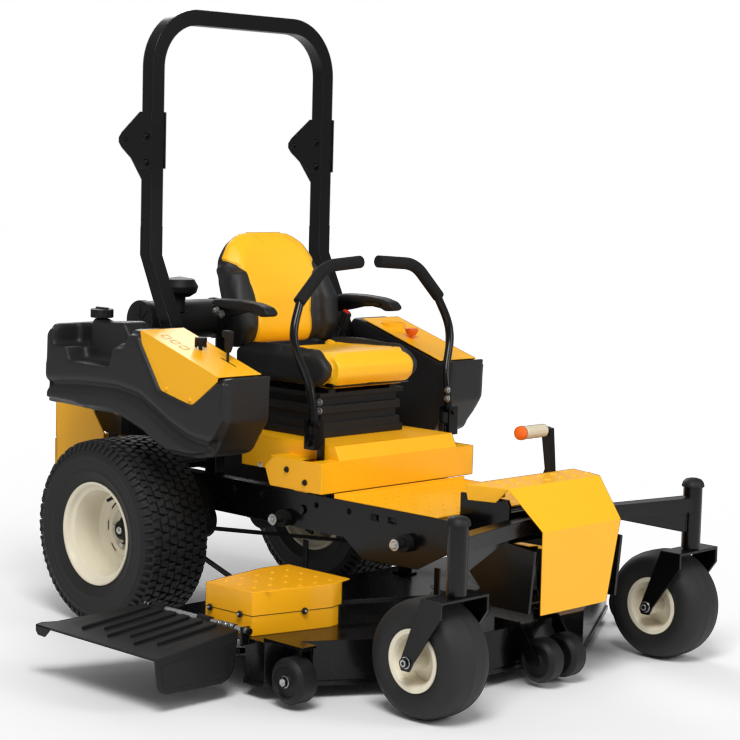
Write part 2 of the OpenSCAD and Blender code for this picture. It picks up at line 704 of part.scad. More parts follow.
module armrest_right() { armrest(-1); }
module armrest_left() { armrest(1); }

// ---------------------------------------------------------------- rear wheels
rim_half = 111;
bead = 22;
disc_off = -24;         // the wheel disc lies inside the tyre's middle plane
lug_pcd = 114.3;
hub_r = 30;
// Tyre and rim profiles turn about their axle; x is the radius and y runs outwards
module turned(s, x, y, z) { translate([x, s * y, z]) rotate([-90 * s, 0, 0]) children(); }
// Outer half of a tyre's section, from its bead to its tread
function tyre_outer(w) = [[rear_rim_r + seat_gap, rim_half - 6], [rear_rim_r + 18, rim_half - 6],
    [rear_rim_r + 28, rim_half - 2], [rear_r - 98, w - 4], [rear_r - 63, w], [rear_r - 30, w - 8],
    [rear_r - 8, w - 26], [rear_r, w - 55]];
module rear_tyre(s) {
    w = rear_w / 2;
    place("#232325") turned(s, 0, rear_y, rear_axle_z) difference() {
        rotate_extrude($fn = 128) polygon(concat(
            [for (p = tyre_outer(w)) [p.x, -p.y]],
            [for (i = [len(tyre_outer(w)) - 1 : -1 : 0]) tyre_outer(w)[i]],
            // the inside of the carcass
            [[rear_rim_r + seat_gap, rim_half - 20], [rear_rim_r + 20, rim_half - 22], [240, w - 22],
                [rear_r - 20, w - 50],
            [rear_r - 20, -w + 50], [240, -w + 22], [rear_rim_r + 20, -rim_half + 22],
                [rear_rim_r + seat_gap, -rim_half + 20]]));
    }
}
module rear_tyre_right() { rear_tyre(-1); }
module rear_tyre_left() { rear_tyre(1); }
module rear_rim(s) {
    r = rear_rim_r;
    place(cream) turned(s, 0, rear_y, rear_axle_z) {
        difference() {
            rotate_extrude($fn = 128) polygon([[hub_r + 0.3, disc_off], [r - 34, disc_off], [r - 26,
                -rim_half + 30],
                [r - 5, -rim_half + 12], [r - 5, -rim_half], [r + bead, -rim_half - 2],
                [r + bead, -rim_half + 1.5], [r, -rim_half + 3], [r, -rim_half + 24], [r - 20,
                    -rim_half + 40],
                [r - 20, 40], [r, rim_half - 24], [r, rim_half - 3], [r + bead, rim_half - 1.5],
                [r + bead, rim_half + 2], [r - 5, rim_half], [r - 5, rim_half - 20], [r - 26, 42],
                [r - 28, disc_off + 4], [hub_r + 0.3, disc_off + 4]]);
            for (i = [0 : 7]) rotate([0, 0, i * 45 + 22.5]) translate([94, 0,
                disc_off - 1]) cylinder(r = 15, h = 8, $fn = 3);
        }
        // hub, studs and nuts
        difference() {
            union() {
                translate([0, 0, disc_off - 16]) cylinder(r = 78, h = 15.7);
                translate([0, 0, disc_off - 16]) cylinder(r = hub_r, h = 34);
            }
            translate([0, 0, disc_off - 40]) cylinder(r = 16 + 0.05,
                h = hydro_out - rear_y - disc_off + 40 + 3);
        }
        for (i = [0 : 4]) rotate([0, 0, i * 72]) translate([lug_pcd / 2, 0, disc_off + 4 + seat_gap]) {
            cylinder(r1 = 9, r2 = 12, h = 6);
            translate([0, 0, 6]) cylinder(r = 12, h = 12, $fn = 6);
        }
    }
}
module rear_rim_right() { rear_rim(-1); }
module rear_rim_left() { rear_rim(1); }

// ---------------------------------------------------------------- front axle and casters
post_r = 28;
post_low = 350;
post_high = 543;
stem_r = 16;
module front_axle() {
    b = beam / 2;
    place(black) difference() {
        union() {
            block([axle_beam_x - b, -196, axle_z - b], [axle_beam_x + b, 196, axle_z + b]);
            for (s = [-1, 1]) on(s) {
                translate([0, 0, axle_z - b]) linear_extrude(beam) polygon([[axle_beam_x - b, 190],
                    [axle_beam_x + b, 190],
                    [kingpin_x + 20, kingpin_y - 10], [kingpin_x - 26, kingpin_y]]);
                // gusset under the arm
                hull() {
                    block([kingpin_x - 6, kingpin_y - 24, 400], [kingpin_x + 2, kingpin_y - 22,
                        axle_z - b]);
                    block([axle_beam_x + 6, 250, axle_z - b - 3], [axle_beam_x + 14, 252, axle_z - b]);
                }
                translate([kingpin_x, kingpin_y, post_low]) cylinder(r = post_r,
                    h = post_high - post_low);
                translate([kingpin_x, kingpin_y, post_high]) intersection() {
                    cylinder(r = post_r - 2, h = 20);
                    translate([0, 0, -26]) sphere(r = 38);
                }
            }
        }
        bar_x([axle_beam_x - 60, 0, axle_z], axle_pin_r + fit, 120);
        for (s = [-1, 1]) on(s) translate([kingpin_x, kingpin_y,
            post_low - 5]) cylinder(r = stem_r + fit, h = post_high - post_low - 15);
    }
}
caster_hub_r = 24;
caster_axle_r = 8;
caster_rim_r = 78;
fork_y = caster_w / 2 + 9;
module caster_fork(s) {
    place(black) on(s) translate([kingpin_x, kingpin_y, 0]) {
        translate([0, 0, 347]) cylinder(r = stem_r, h = post_high - 360 - 12);
        translate([0, 0, 347]) cylinder(r = 26, h = post_low - 347 - seat_gap);
        block([-40, -fork_y - 8, 339], [32, fork_y + 8, 347]);
        for (e = [-1, 1]) difference() {
            xz_plate([[32, 347], [-40, 347], [-caster_trail - 24, caster_r - 8], [-caster_trail - 16,
                caster_r - 24],
                [-caster_trail + 12, caster_r - 24], [-caster_trail + 24, caster_r], [32, 300]],
                e < 0 ? -fork_y - 8 : fork_y, 8);
            bar_y([-caster_trail, e * fork_y, caster_r], caster_axle_r, 60);
        }
        // axle bolt, fixed in the fork
        bar_y([-caster_trail, 0, caster_r], caster_axle_r, 2 * fork_y + 30);
        for (e = [-1, 1]) bar_y([-caster_trail, e * (fork_y + 14), caster_r], 14, 10);
    }
}
module caster_fork_right() { caster_fork(-1); }
module caster_fork_left() { caster_fork(1); }
module caster_tyre(s) {
    w = caster_w / 2;
    place("#232325") turned(s, caster_x, kingpin_y, caster_r) rotate_extrude($fn = 128)
        polygon([[caster_rim_r + seat_gap, -w + 20], [caster_rim_r + seat_gap + 14, -w + 12], [112,
            -w], [132, -w + 4], [152, -w + 20],
            [162, -w + 40], [caster_r, -w + 62], [caster_r, w - 62], [162, w - 40], [152, w - 20],
                [132, w - 4], [112, w],
            [caster_rim_r + seat_gap + 14, w - 12], [caster_rim_r + seat_gap, w - 20]]);
}
module caster_tyre_right() { caster_tyre(-1); }
module caster_tyre_left() { caster_tyre(1); }
module caster_rim(s) {
    w = caster_w / 2;
    r = caster_rim_r;
    place(cream) turned(s, caster_x, kingpin_y, caster_r) {
        // barrel with its flanges, then the dished disc
        rotate_extrude($fn = 96) polygon([[r - 6, -w + 26], [r, -w + 20], [r + 9, -w + 12], [r + 9,
            -w + 8], [r - 4, -w + 10],
            [r - 12, -w + 24], [r - 12, w - 24], [r - 4, w - 10], [r + 9, w - 8], [r + 9, w - 12],
                [r, w - 20], [r - 6, w - 26]]);
        rotate_extrude($fn = 96) polygon([[caster_hub_r - 1, -30], [r - 11, -8], [r - 11, 8],
            [caster_hub_r - 1, 30]]);
        difference() {
            cylinder(r = caster_hub_r, h = 2 * fork_y - 2, center = true);
            cylinder(r = caster_axle_r + fit, h = 2 * fork_y, center = true);
        }
    }
}
module caster_rim_right() { caster_rim(-1); }
module caster_rim_left() { caster_rim(1); }

// ---------------------------------------------------------------- cutting deck
deck_low = deck_top - deck_depth;
deck_rear = 500;
deck_front = 1310;
deck_corner = 1000;
skirt_t = 6;
chute_flare = 145;      // how far its outer edge runs behind the opening
chute_out_z = 156;      // height of the outer edge
chute_x0 = 540;         // discharge opening
chute_x1 = 920;
centre_spindle_x = 1010;
side_spindle_x = 790;
spindles = [[side_spindle_x, -spindle_y], [centre_spindle_x, 0], [side_spindle_x, spindle_y]];
deck_plan = [[deck_rear, -deck_half + 130], [deck_rear + 60, -deck_half], [deck_corner, -deck_half],
    [deck_front, -250], [deck_front, 250], [deck_corner, deck_half], [deck_rear + 100, deck_half],
    [deck_rear, deck_half - 130]];
pulley_r = 62;
belt_z = 202;
module deck_plate(h, inset) { linear_extrude(h) offset(delta = -inset) polygon(deck_plan); }
module deck_shell() {
    place(black) {
        difference() {
            translate([0, 0, deck_low]) deck_plate(deck_depth, 0);
            translate([0, 0, deck_low - 1]) deck_plate(deck_depth + 1 - skirt_t, skirt_t);
            for (p = spindles) translate([p.x, p.y, deck_top - 20]) cylinder(r = 52, h = 40);
            block([chute_x0, -deck_half - 20, deck_low - 1], [chute_x1, -deck_half + 40,
                deck_top - skirt_t - 4]);
        }
        // front trim bar and rolled lower edge
        difference() {
            translate([0, 0, deck_low]) deck_plate(14, -5);
            translate([0, 0, deck_low - 1]) deck_plate(16, 1);
            block([chute_x0, -deck_half - 20, deck_low - 2], [chute_x1, -deck_half + 40, deck_low + 20]);
        }
        // chute hinge ears
        for (x = [chute_x0 - 14, chute_x1 + 6]) difference() {
            block([x, -deck_half - 14 - 12, deck_top - 18], [x + 8, -deck_half + 4, deck_top + 34]);
            bar_x([x - 5, chute_hinge_y, hinge_z], hinge_r, 20);
        }
    }
}
hinge_z = 189;
hinge_r = 6;
// Yellow spindle cover, open towards the middle and at its belt side
cover_plan = [[736, -754], [924, -745], [982, -495], [960, -400], [700, -400], [690, -499]];
module spindle_covers() {
    t = 2;
    place(yellow) for (s = [-1, 1]) on(-s) difference() {
        union() {
            translate([0, 0, 222]) linear_extrude(68) polygon(cover_plan);
            // lower base, on the outer and front sides only
            translate([0, 0, deck_top + seat_gap]) linear_extrude(57) difference() {
                polygon(cover_plan);
                offset(delta = -t) polygon(cover_plan);
                polygon([[640, -720], [800, -720], [930, -470], [1020, -440], [1020, -380], [640, -380]]);
            }
        }
        translate([0, 0, 200]) linear_extrude(88) offset(delta = -t) polygon(cover_plan);
        block([600, -440, 200], [1100, -380, 286]);
        for (x = [760 : 60 : 940], y = [-700 : 60 : -460])
            if (x < 930 - (y + 700) * -0.2) translate([x, y, 280]) cylinder(r = 4, h = 20, $fn = 16);
    }
}
module deck_belt() {
    place("#262628") translate([0, 0, belt_z]) difference() {
        linear_extrude(12) belt_loop(pulley_r + 10);
        translate([0, 0, -1]) linear_extrude(14) belt_loop(pulley_r + seat_gap);
    }
}
module belt_loop(r) {
    hull() {
        translate([engine_x, 0]) circle(r = r, $fn = 64);
        for (p = spindles) translate(p) circle(r = r, $fn = 64);
    }
}
module spindle_housings() {
    place("#6A6C6E") for (p = spindles) translate([p.x, p.y, 0]) difference() {
        union() {
            translate([0, 0, deck_top + seat_gap]) cylinder(r = 78, h = 8);
            translate([0, 0, deck_top - 40]) cylinder(r = 44, h = 67);
            for (a = [45 : 90 : 315]) rotate([0, 0, a]) translate([66, 0,
                deck_top + 8]) cylinder(r = 9, h = 8, $fn = 6);
        }
        translate([0, 0, deck_top - 60]) cylinder(r = 12.5 + fit, h = 120);
    }
}
blade_z = deck_low + 20;
module blade_unit(p, turn) {
    place("#9A9C9E") translate([p.x, p.y, 0]) {
        translate([0, 0, blade_z - 12]) cylinder(r = 12.5, h = belt_z + 24 - blade_z + 12);
        translate([0, 0, blade_z + 6]) cylinder(r = 30, h = deck_top - 40 - seat_gap - blade_z - 6);
        translate([0, 0, blade_z - 12]) cylinder(r = 16, h = 12, $fn = 6);
        // spindle pulley
        for (z = [belt_z - 7, belt_z + 15]) translate([0, 0, z]) cylinder(r = pulley_r + 12, h = 4);
        translate([0, 0, belt_z - 3]) cylinder(r = pulley_r, h = 18);
        // blade with raised sails behind its tips
        rotate([0, 0, turn]) {
            block([-blade_len / 2, -32, blade_z], [blade_len / 2, 32, blade_z + 6]);
            for (e = [0, 180]) rotate([0, 0, e])
                xz_blade_sail();
        }
    }
}
module xz_blade_sail() {
    yz_plate([[20, blade_z + 4], [32, blade_z + 4], [46, blade_z + 24], [42, blade_z + 26]],
        blade_len / 2 - 110, 96);
}
module blade_right() { blade_unit(spindles[0], 62); }
module blade_centre() { blade_unit(spindles[1], 90); }
module blade_left() { blade_unit(spindles[2], 118); }
scalp_side = [1106, scalp_y];
scalp_z = deck_low - 22 + scalp_r;
scalp_front_x = 1400;
scalp_pin = 8;
module wheel_ring(at, w, r) {
    bar = scalp_pin + fit;
    translate(at) rotate([90, 0, 0]) difference() {
        rotate_extrude() polygon([[bar, -w / 2], [r - 12, -w / 2], [r, -w / 2 + 12], [r, w / 2 - 12],
            [r - 12, w / 2], [bar, w / 2]]);
        for (e = [-1, 1]) translate([0, 0, e * w / 2]) difference() {
            cylinder(r = r - 20, h = 16, center = true);
            cylinder(r = 18, h = 18, center = true);
        }
    }
}
module scalp_wheel_right() { place(black) wheel_ring([scalp_side.x, -scalp_side.y, scalp_z], 74,
    scalp_r); }
module scalp_wheel_left() { place(black) wheel_ring([scalp_side.x, scalp_side.y, scalp_z], 74, scalp_r); }
module scalp_wheels_front() {
    place(black) {
        for (s = [-1, 1]) wheel_ring([scalp_front_x, s * 50, scalp_z], 64, scalp_r);
        // spacer tube that joins the pair
        difference() {
            bar_y([scalp_front_x, 0, scalp_z], 14, 38);
            bar_y([scalp_front_x, 0, scalp_z], scalp_pin + fit, 60);
        }
    }
}
module deck_hardware() {
    place(black) {
        for (s = [-1, 1]) on(s) {
            // side anti-scalp wheel arm: a strap from the deck corner with a pin
            block([scalp_side.x - 126, scalp_side.y - 50, deck_top + seat_gap], [scalp_side.x + 30,
                scalp_side.y + 2, deck_top + 8]);
            xz_plate([[scalp_side.x - 20, deck_top + 8], [scalp_side.x + 20, deck_top + 8],
                [scalp_side.x + 18, scalp_z - 16],
                [scalp_side.x - 18, scalp_z - 16]], scalp_side.y - 50, 8);
            bar_y([scalp_side.x, scalp_side.y - 1, scalp_z], scalp_pin, 88);
            bar_y([scalp_side.x, scalp_side.y + 42, scalp_z], 15, 8);
            // deck hanger lugs
            for (x = [hang_rear, hang_front]) difference() {
                union() {
                    block([x - 30, hang_y - 26, deck_top + seat_gap], [x + 30, hang_y + 26,
                        deck_top + 7]);
                    for (y = [hang_y - 14, hang_y + 8]) block([x - 18, y, deck_top + 7], [x + 18,
                        y + 6, deck_top + 44]);
                }
                bar_y([x, hang_y, deck_top + 28], 6 + fit, 80);
            }
            // hanger links, pinned at their lower ends
            for (x = [hang_rear, hang_front]) {
                block([x - 10, hang_y + 15, deck_top + 16], [x + 10, hang_y + 21, deck_top + 164]);
                bar_y([x, hang_y, deck_top + 28], 6, 44);
            }
        }
        // front anti-scalp wheel arms
        for (y = [-92, 84]) {
            block([deck_front - 60, y, deck_top + seat_gap], [deck_front + 30, y + 8, deck_top + 20]);
            xz_plate([[deck_front + 12, deck_top + 20], [deck_front + 30, deck_top + 20],
                [scalp_front_x + 18, scalp_z + 10],
                [scalp_front_x + 14, scalp_z - 14], [scalp_front_x - 16, scalp_z - 12],
                    [deck_front + 12, deck_top - 20]], y, 8);
        }
        bar_y([scalp_front_x, 0, scalp_z], scalp_pin, 200);
        // chute hinge rod with its springs
        bar_x([chute_x0 - 30, chute_hinge_y, hinge_z], hinge_r, chute_x1 - chute_x0 + 60);
        bar_x([chute_x0 - 34, chute_hinge_y, hinge_z], 10, 8);
        bar_x([chute_x1 + 26, chute_hinge_y, hinge_z], 10, 8);
        for (x = [chute_x1 - 96]) translate([x, chute_hinge_y, hinge_z]) rotate([0, 90, 0])
            difference() {
                cylinder(r = 11, h = 70);
                translate([0, 0, -1]) cylinder(r = hinge_r + 1, h = 72);
            }
    }
}
hang_y = 215;
hang_rear = 600;
hang_front = 1150;
chute_t = 5;
// Discharge chute, drawn down from its hinge sleeve
module discharge_chute() {
    place("#38383A") difference() {
        union() {
            // sloping ribbed top, wider at its outer edge
            hull() {
                block([chute_x0 - 25, chute_hinge_y - 20, hinge_z + 5 - chute_t], [chute_x1 + 8,
                    chute_hinge_y - 19, hinge_z + 5]);
                block([chute_x0 - chute_flare, chute_out_y, chute_out_z - chute_t], [chute_x1 + 8,
                    chute_out_y + 1, chute_out_z]);
            }
            for (i = [0 : 5]) yz_plate([[chute_hinge_y - 30, hinge_z + 3], [chute_hinge_y - 60,
                hinge_z + 5],
                [chute_out_y + 70, chute_out_z + 15], [chute_out_y + 40, chute_out_z + 4]],
                    chute_x0 + 6 + i * 56, 22);
            // turned-down tip at the rear outer corner
            block([chute_x0 - chute_flare, chute_out_y, chute_out_z - 30],
                [chute_x0 - chute_flare + 40, chute_out_y + 5, chute_out_z - 1]);
            // front skirt
            yz_plate([[chute_hinge_y - 18, hinge_z + 4], [chute_out_y, chute_out_z],
                [chute_out_y + 10, 74], [chute_out_y + 32, 54],
                [chute_hinge_y - 60, 50], [chute_hinge_y - 34, 80]], chute_x1, chute_t + 3);
            // hinge sleeves
            for (x = [chute_x0, chute_x0 + 200]) bar_x([x, chute_hinge_y, hinge_z], hinge_r + 5, 50);
            for (x = [chute_x0, chute_x0 + 200]) block([x, chute_hinge_y - 22, hinge_z - 4], [x + 50,
                chute_hinge_y - 4, hinge_z + 4]);
        }
        bar_x([chute_x0 - 60, chute_hinge_y, hinge_z], hinge_r + fit, 500);
    }
}

// ---------------------------------------------------------------- lap bars
grip_in = [613, 40, 1181];
grip_bend = [622, 199, 1171];
grip_low = [626, 310, 1064];
bow = [640, 346, 980];
tube_low = [672, lap_y, 830];
grip_run = [2.4, 25, -38];  // direction of the tube where it leaves the grip
swing_z = 700;          // outward-swing pin between bar and pivot bracket
module lap_tube(s) {
    place(black) on(s) {
        bent_bar([grip_low + 0.01 * grip_run, grip_low + 0.5 * grip_run, bow, [650, 344, 930], [660,
            326, 880], tube_low, [684, lap_y, 770], [694, lap_y, 720]], lap_r);
        difference() {
            block([lap_pin_x - 13, lap_y - 14, 668], [lap_pin_x + 13, lap_y - 4, 790]);
            bar_x([660, lap_y, swing_z], bolt_r + fit, 80);
        }
        difference() {
            block([683, lap_y - 8, 684], [705, lap_y + 8, 716]);
            bar_x([660, lap_y, swing_z], bolt_r + fit, 80);
        }
        for (z = [769, 742]) bolt_head([699, lap_y - 5, z], 6);
    }
}
module lap_bar_right() { lap_tube(-1); }
module lap_bar_left() { lap_tube(1); }
module lap_grip(s) {
    place("#2A2A2C") on(s) {
        bent_bar([grip_in, [616, 100, 1180], [620, 170, 1178], grip_bend + [0, 12, -4],
            grip_low - 0.9 * grip_run, grip_low], grip_r);
        translate(grip_in) sphere(r = grip_r);
    }
}
module lap_grip_right() { lap_grip(-1); }
module lap_grip_left() { lap_grip(1); }
// Bracket that turns fore and aft on the frame and carries the swing pin
module lap_pivot(s) {
    place(black) on(s) {
        difference() {
            union() {
                for (x = [672, 708]) block([x, lap_y - 20, lap_z - 18], [x + 8, lap_y + 20,
                    swing_z + 16]);
                block([672, lap_y - 20, lap_z - 18], [716, lap_y + 20, lap_z + 14]);
            }
            bar_y([lap_pin_x, lap_y, lap_z], lap_pin_r + fit, 80);
        }
        bar_x([668, lap_y, swing_z], bolt_r, 52);
        for (x = [664, 716]) bar_x([x, lap_y, swing_z], bolt_r + 4, 8);
    }
}
module lap_pivot_right() { lap_pivot(-1); }
module lap_pivot_left() { lap_pivot(1); }

// ---------------------------------------------------------------- deck lift
pedal_y = 176;
module lift_pedal() {
    place(black) {
        difference() {
            bar_y([pedal_x, pedal_y, pedal_z], 24, 30);
            bar_y([pedal_x, pedal_y, pedal_z], lift_r, 60);
        }
        // pivot pin, fixed in the lever and running in the rail's boss
        bar_y([pedal_x, pedal_y + 38, pedal_z], lift_r, 100);
        xz_plate([[pedal_x - 14, pedal_z + 10], [pedal_x + 14, pedal_z + 10], [1236, 560], [1222,
            712], [1190, 716],
            [1190, 704], [1208, 590]], pedal_y - 10, 20);
        bar_y([1205, pedal_y - 55, 706], 9, 130);
        bar_y([1205, pedal_y - 66, 706], 18, 96);
        bar_y([1205, pedal_y - 120, 706], 20, 12);
    }
}
module lift_shaft() {
    place(black) {
        bar_y([lift_x, 0, lift_z], lift_r, 2 * rail_y + 16);
        for (y = [-hang_y, hang_y]) difference() {
            xz_plate([[lift_x + 10, lift_z - 18], [lift_x + 10, lift_z + 18], [lift_x - 30, lift_z - 20],
                [lift_x - 62, lift_z - 80], [lift_x - 30, lift_z - 90], [lift_x - 14, lift_z - 30]],
                    y - 4, 8);
        }
        xz_plate([[lift_x - 16, lift_z], [lift_x - 8, lift_z + 48], [lift_x + 8, lift_z + 48],
            [lift_x + 16, lift_z]],
            pedal_y - 6, 12);
    }
}

main_frame();
rear_guard();
rops_base();
rops_hoop();
engine_block();
engine_shroud();
air_cleaner();
muffler();
battery();
hydro_drives();
engine_clutch();
fuel_tank_right();
fuel_tank_left();
fuel_cap_right();
fuel_cap_left();
console_right();
console_left();
throttle_lever();
choke_knob();
pto_knob();
cowl();
foot_plate();
front_cover();
frame_hardware();
seat_suspension();
seat_cushion();
seat_back();
armrest_right();
armrest_left();
rear_tyre_right();
rear_tyre_left();
rear_rim_right();
rear_rim_left();
front_axle();
caster_fork_right();
caster_fork_left();
caster_tyre_right();
caster_tyre_left();
caster_rim_right();
caster_rim_left();
deck_shell();
spindle_covers();
deck_belt();
spindle_housings();
deck_hardware();
discharge_chute();
blade_right();
blade_centre();
blade_left();
scalp_wheel_right();
scalp_wheel_left();
scalp_wheels_front();
lap_bar_right();
lap_bar_left();
lap_grip_right();
lap_grip_left();
lap_pivot_right();
lap_pivot_left();
lift_pedal();
lift_shaft();
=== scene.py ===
"""Looks of a riding lawn mower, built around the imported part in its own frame, in metres."""

from __future__ import annotations

import json
import logging
import math
from dataclasses import dataclass
from enum import Enum
from typing import Any, Callable, Iterable, Sequence, Union

import bmesh
import bpy
from mathutils import Matrix, Vector

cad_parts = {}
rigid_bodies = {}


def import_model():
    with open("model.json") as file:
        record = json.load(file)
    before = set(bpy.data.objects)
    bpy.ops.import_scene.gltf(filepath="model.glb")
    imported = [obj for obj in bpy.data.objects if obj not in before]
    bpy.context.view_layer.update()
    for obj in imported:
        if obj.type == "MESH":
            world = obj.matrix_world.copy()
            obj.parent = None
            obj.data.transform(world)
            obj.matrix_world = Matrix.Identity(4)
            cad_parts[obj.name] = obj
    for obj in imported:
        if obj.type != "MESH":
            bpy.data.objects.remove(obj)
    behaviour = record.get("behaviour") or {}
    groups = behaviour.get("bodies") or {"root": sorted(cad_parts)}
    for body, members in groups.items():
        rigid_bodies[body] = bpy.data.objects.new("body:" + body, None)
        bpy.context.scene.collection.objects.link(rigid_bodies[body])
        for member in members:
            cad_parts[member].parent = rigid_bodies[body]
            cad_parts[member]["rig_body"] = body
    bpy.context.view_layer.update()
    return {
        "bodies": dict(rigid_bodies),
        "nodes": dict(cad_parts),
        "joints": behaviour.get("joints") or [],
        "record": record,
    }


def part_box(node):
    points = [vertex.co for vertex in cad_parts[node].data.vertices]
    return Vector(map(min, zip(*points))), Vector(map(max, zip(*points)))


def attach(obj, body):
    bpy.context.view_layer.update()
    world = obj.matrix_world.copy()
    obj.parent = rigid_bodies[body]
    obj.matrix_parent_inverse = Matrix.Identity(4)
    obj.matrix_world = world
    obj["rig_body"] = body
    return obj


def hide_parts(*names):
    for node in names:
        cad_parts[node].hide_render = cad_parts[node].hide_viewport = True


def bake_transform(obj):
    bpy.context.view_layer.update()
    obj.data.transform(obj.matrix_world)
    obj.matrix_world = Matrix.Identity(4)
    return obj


LOG = logging.getLogger("mower")
Point = Sequence[float]
Colour = tuple[float, float, float, float]
Test = Callable[[Vector, Vector], bool]
MM = 0.001
X_AXIS, Y_AXIS, Z_AXIS = Vector((1, 0, 0)), Vector((0, 1, 0)), Vector((0, 0, 1))


def srgb(red: int, green: int, blue: int) -> Colour:
    """Turns a colour of 0 to 255 a channel into linear light."""
    def linear(value: int) -> float:
        """Turns one channel into linear light."""
        part = value / 255
        return part / 12.92 if part <= 0.04045 else ((part + 0.055) / 1.055) ** 2.4
    return (linear(red), linear(green), linear(blue), 1.0)


# ---------------------------------------------------------------- shaders
class Signal:
    """One output socket of a shader, with arithmetic that adds Math nodes."""

    def __init__(self, graph: "Graph", socket: bpy.types.NodeSocket) -> None:
        """Keeps the socket and the graph that it belongs to."""
        self.graph = graph
        self.socket = socket

    def _math(self, operation: str, first: Any, second: Any) -> "Signal":
        """Adds one Math node."""
        return self.graph.add("ShaderNodeMath", {"operation": operation}, {0: first, 1: second})

    def __add__(self, other: Any) -> "Signal":
        """Adds a value."""
        return self._math("ADD", self, other)

    __radd__ = __add__

    def __sub__(self, other: Any) -> "Signal":
        """Takes a value away."""
        return self._math("SUBTRACT", self, other)

    def __rsub__(self, other: Any) -> "Signal":
        """Takes this away from a value."""
        return self._math("SUBTRACT", other, self)

    def __mul__(self, other: Any) -> "Signal":
        """Multiplies by a value."""
        return self._math("MULTIPLY", self, other)

    __rmul__ = __mul__

    def __truediv__(self, other: Any) -> "Signal":
        """Divides by a value."""
        return self._math("DIVIDE", self, other)

    def above(self, edge: Any, width: float) -> "Signal":
        """Goes from 0 to 1 as this passes an edge."""
        return ((self - edge) / width + 0.5).kept()

    def kept(self) -> "Signal":
        """Keeps the value between 0 and 1."""
        return self.graph.add("ShaderNodeClamp", {}, {0: self})

    def size(self) -> "Signal":
        """Drops the sign."""
        return self._math("ABSOLUTE", self, 0.0)


class Graph:
    """A new material and the nodes in it."""

    def __init__(self, name: str) -> None:
        """Starts a material that holds only its output and one surface shader."""
        self.material = bpy.data.materials.new(name)
        self.material.use_nodes = True
        self.tree = self.material.node_tree
        self.tree.nodes.clear()
        self.surface = self.tree.nodes.new("ShaderNodeBsdfPrincipled")
        output = self.tree.nodes.new("ShaderNodeOutputMaterial")
        self.tree.links.new(self.surface.outputs[0], output.inputs[0])

    def put(self, socket: bpy.types.NodeSocket, value: Any) -> None:
        """Sets a socket to a value, or links a signal to it."""
        if isinstance(value, Signal):
            self.tree.links.new(value.socket, socket)
        else:
            socket.default_value = value

    def add(self, kind: str, settings: dict[str, Any], inputs: dict[Any, Any],
            out: Union[int, str] = 0) -> Signal:
        """Adds one node.

        Args:
            kind: the node's type.
            settings: its own settings; "stops" gives a ramp's places and colours.
            inputs: values or signals for its sockets.
            out: which output to hand back.

        Returns:
            The output as a signal.
        """
        node = self.tree.nodes.new(kind)
        for key, value in settings.items():
            if key == "stops":
                for element, (place, colour) in zip(node.color_ramp.elements, value):
                    element.position, element.color = place, colour
            else:
                setattr(node, key, value)
        for key, value in inputs.items():
            self.put(node.inputs[key], value)
        return Signal(self, node.outputs[out])

    def place(self, scale: Point = (1, 1, 1), shift: Point = (0, 0, 0)) -> Signal:
        """Gives the piece's own coordinates, scaled and shifted."""
        return self.add("ShaderNodeMapping", {}, {"Vector": self.coordinates(), "Scale": scale, "Location": shift})

    def coordinates(self) -> Signal:
        """Gives the piece's own coordinates in metres."""
        return self.add("ShaderNodeTexCoord", {}, {}, "Object")

    def axes(self) -> tuple[Signal, Signal, Signal]:
        """Gives x, y and z in metres."""
        split = self.tree.nodes.new("ShaderNodeSeparateXYZ")
        self.put(split.inputs[0], self.coordinates())
        return (Signal(self, split.outputs[0]), Signal(self, split.outputs[1]), Signal(self, split.outputs[2]))

    def noise(self, scale: float, detail: float = 3.0, stretch: Point = (1, 1, 1), rough: float = 0.55) -> Signal:
        """Gives a soft random value between 0 and 1."""
        return self.add("ShaderNodeTexNoise", {}, {"Vector": self.place(stretch), "Scale": scale,
                                                   "Detail": detail, "Roughness": rough})

    def cells(self, scale: float, feature: str = "F1", stretch: Point = (1, 1, 1)) -> Signal:
        """Gives the distance within a pattern of cells."""
        return self.add("ShaderNodeTexVoronoi", {"feature": feature}, {"Vector": self.place(stretch), "Scale": scale})

    def mix(self, factor: Any, first: Any, second: Any) -> Signal:
        """Blends two colours."""
        node = self.tree.nodes.new("ShaderNodeMix")
        node.data_type = "RGBA"
        self.put(node.inputs["Factor"], factor)
        for socket, value in zip([s for s in node.inputs if s.type == "RGBA"], (first, second)):
            self.put(socket, value)
        return Signal(self, next(s for s in node.outputs if s.type == "RGBA"))

    def bump(self, height: Any, depth: float, strength: float = 1.0, before: Any = None) -> Signal:
        """Turns a height into a normal; depth is the height of 1 in metres."""
        inputs = {"Height": height, "Distance": depth, "Strength": strength}
        if before is not None:
            inputs["Normal"] = before
        return self.add("ShaderNodeBump", {}, inputs)

    def finish(self, **sockets: Any) -> bpy.types.Material:
        """Sets the surface shader's sockets, named with _ for a space, and hands back the material."""
        for key, value in sockets.items():
            self.put(self.surface.inputs[key.replace("_", " ")], value)
        return self.material


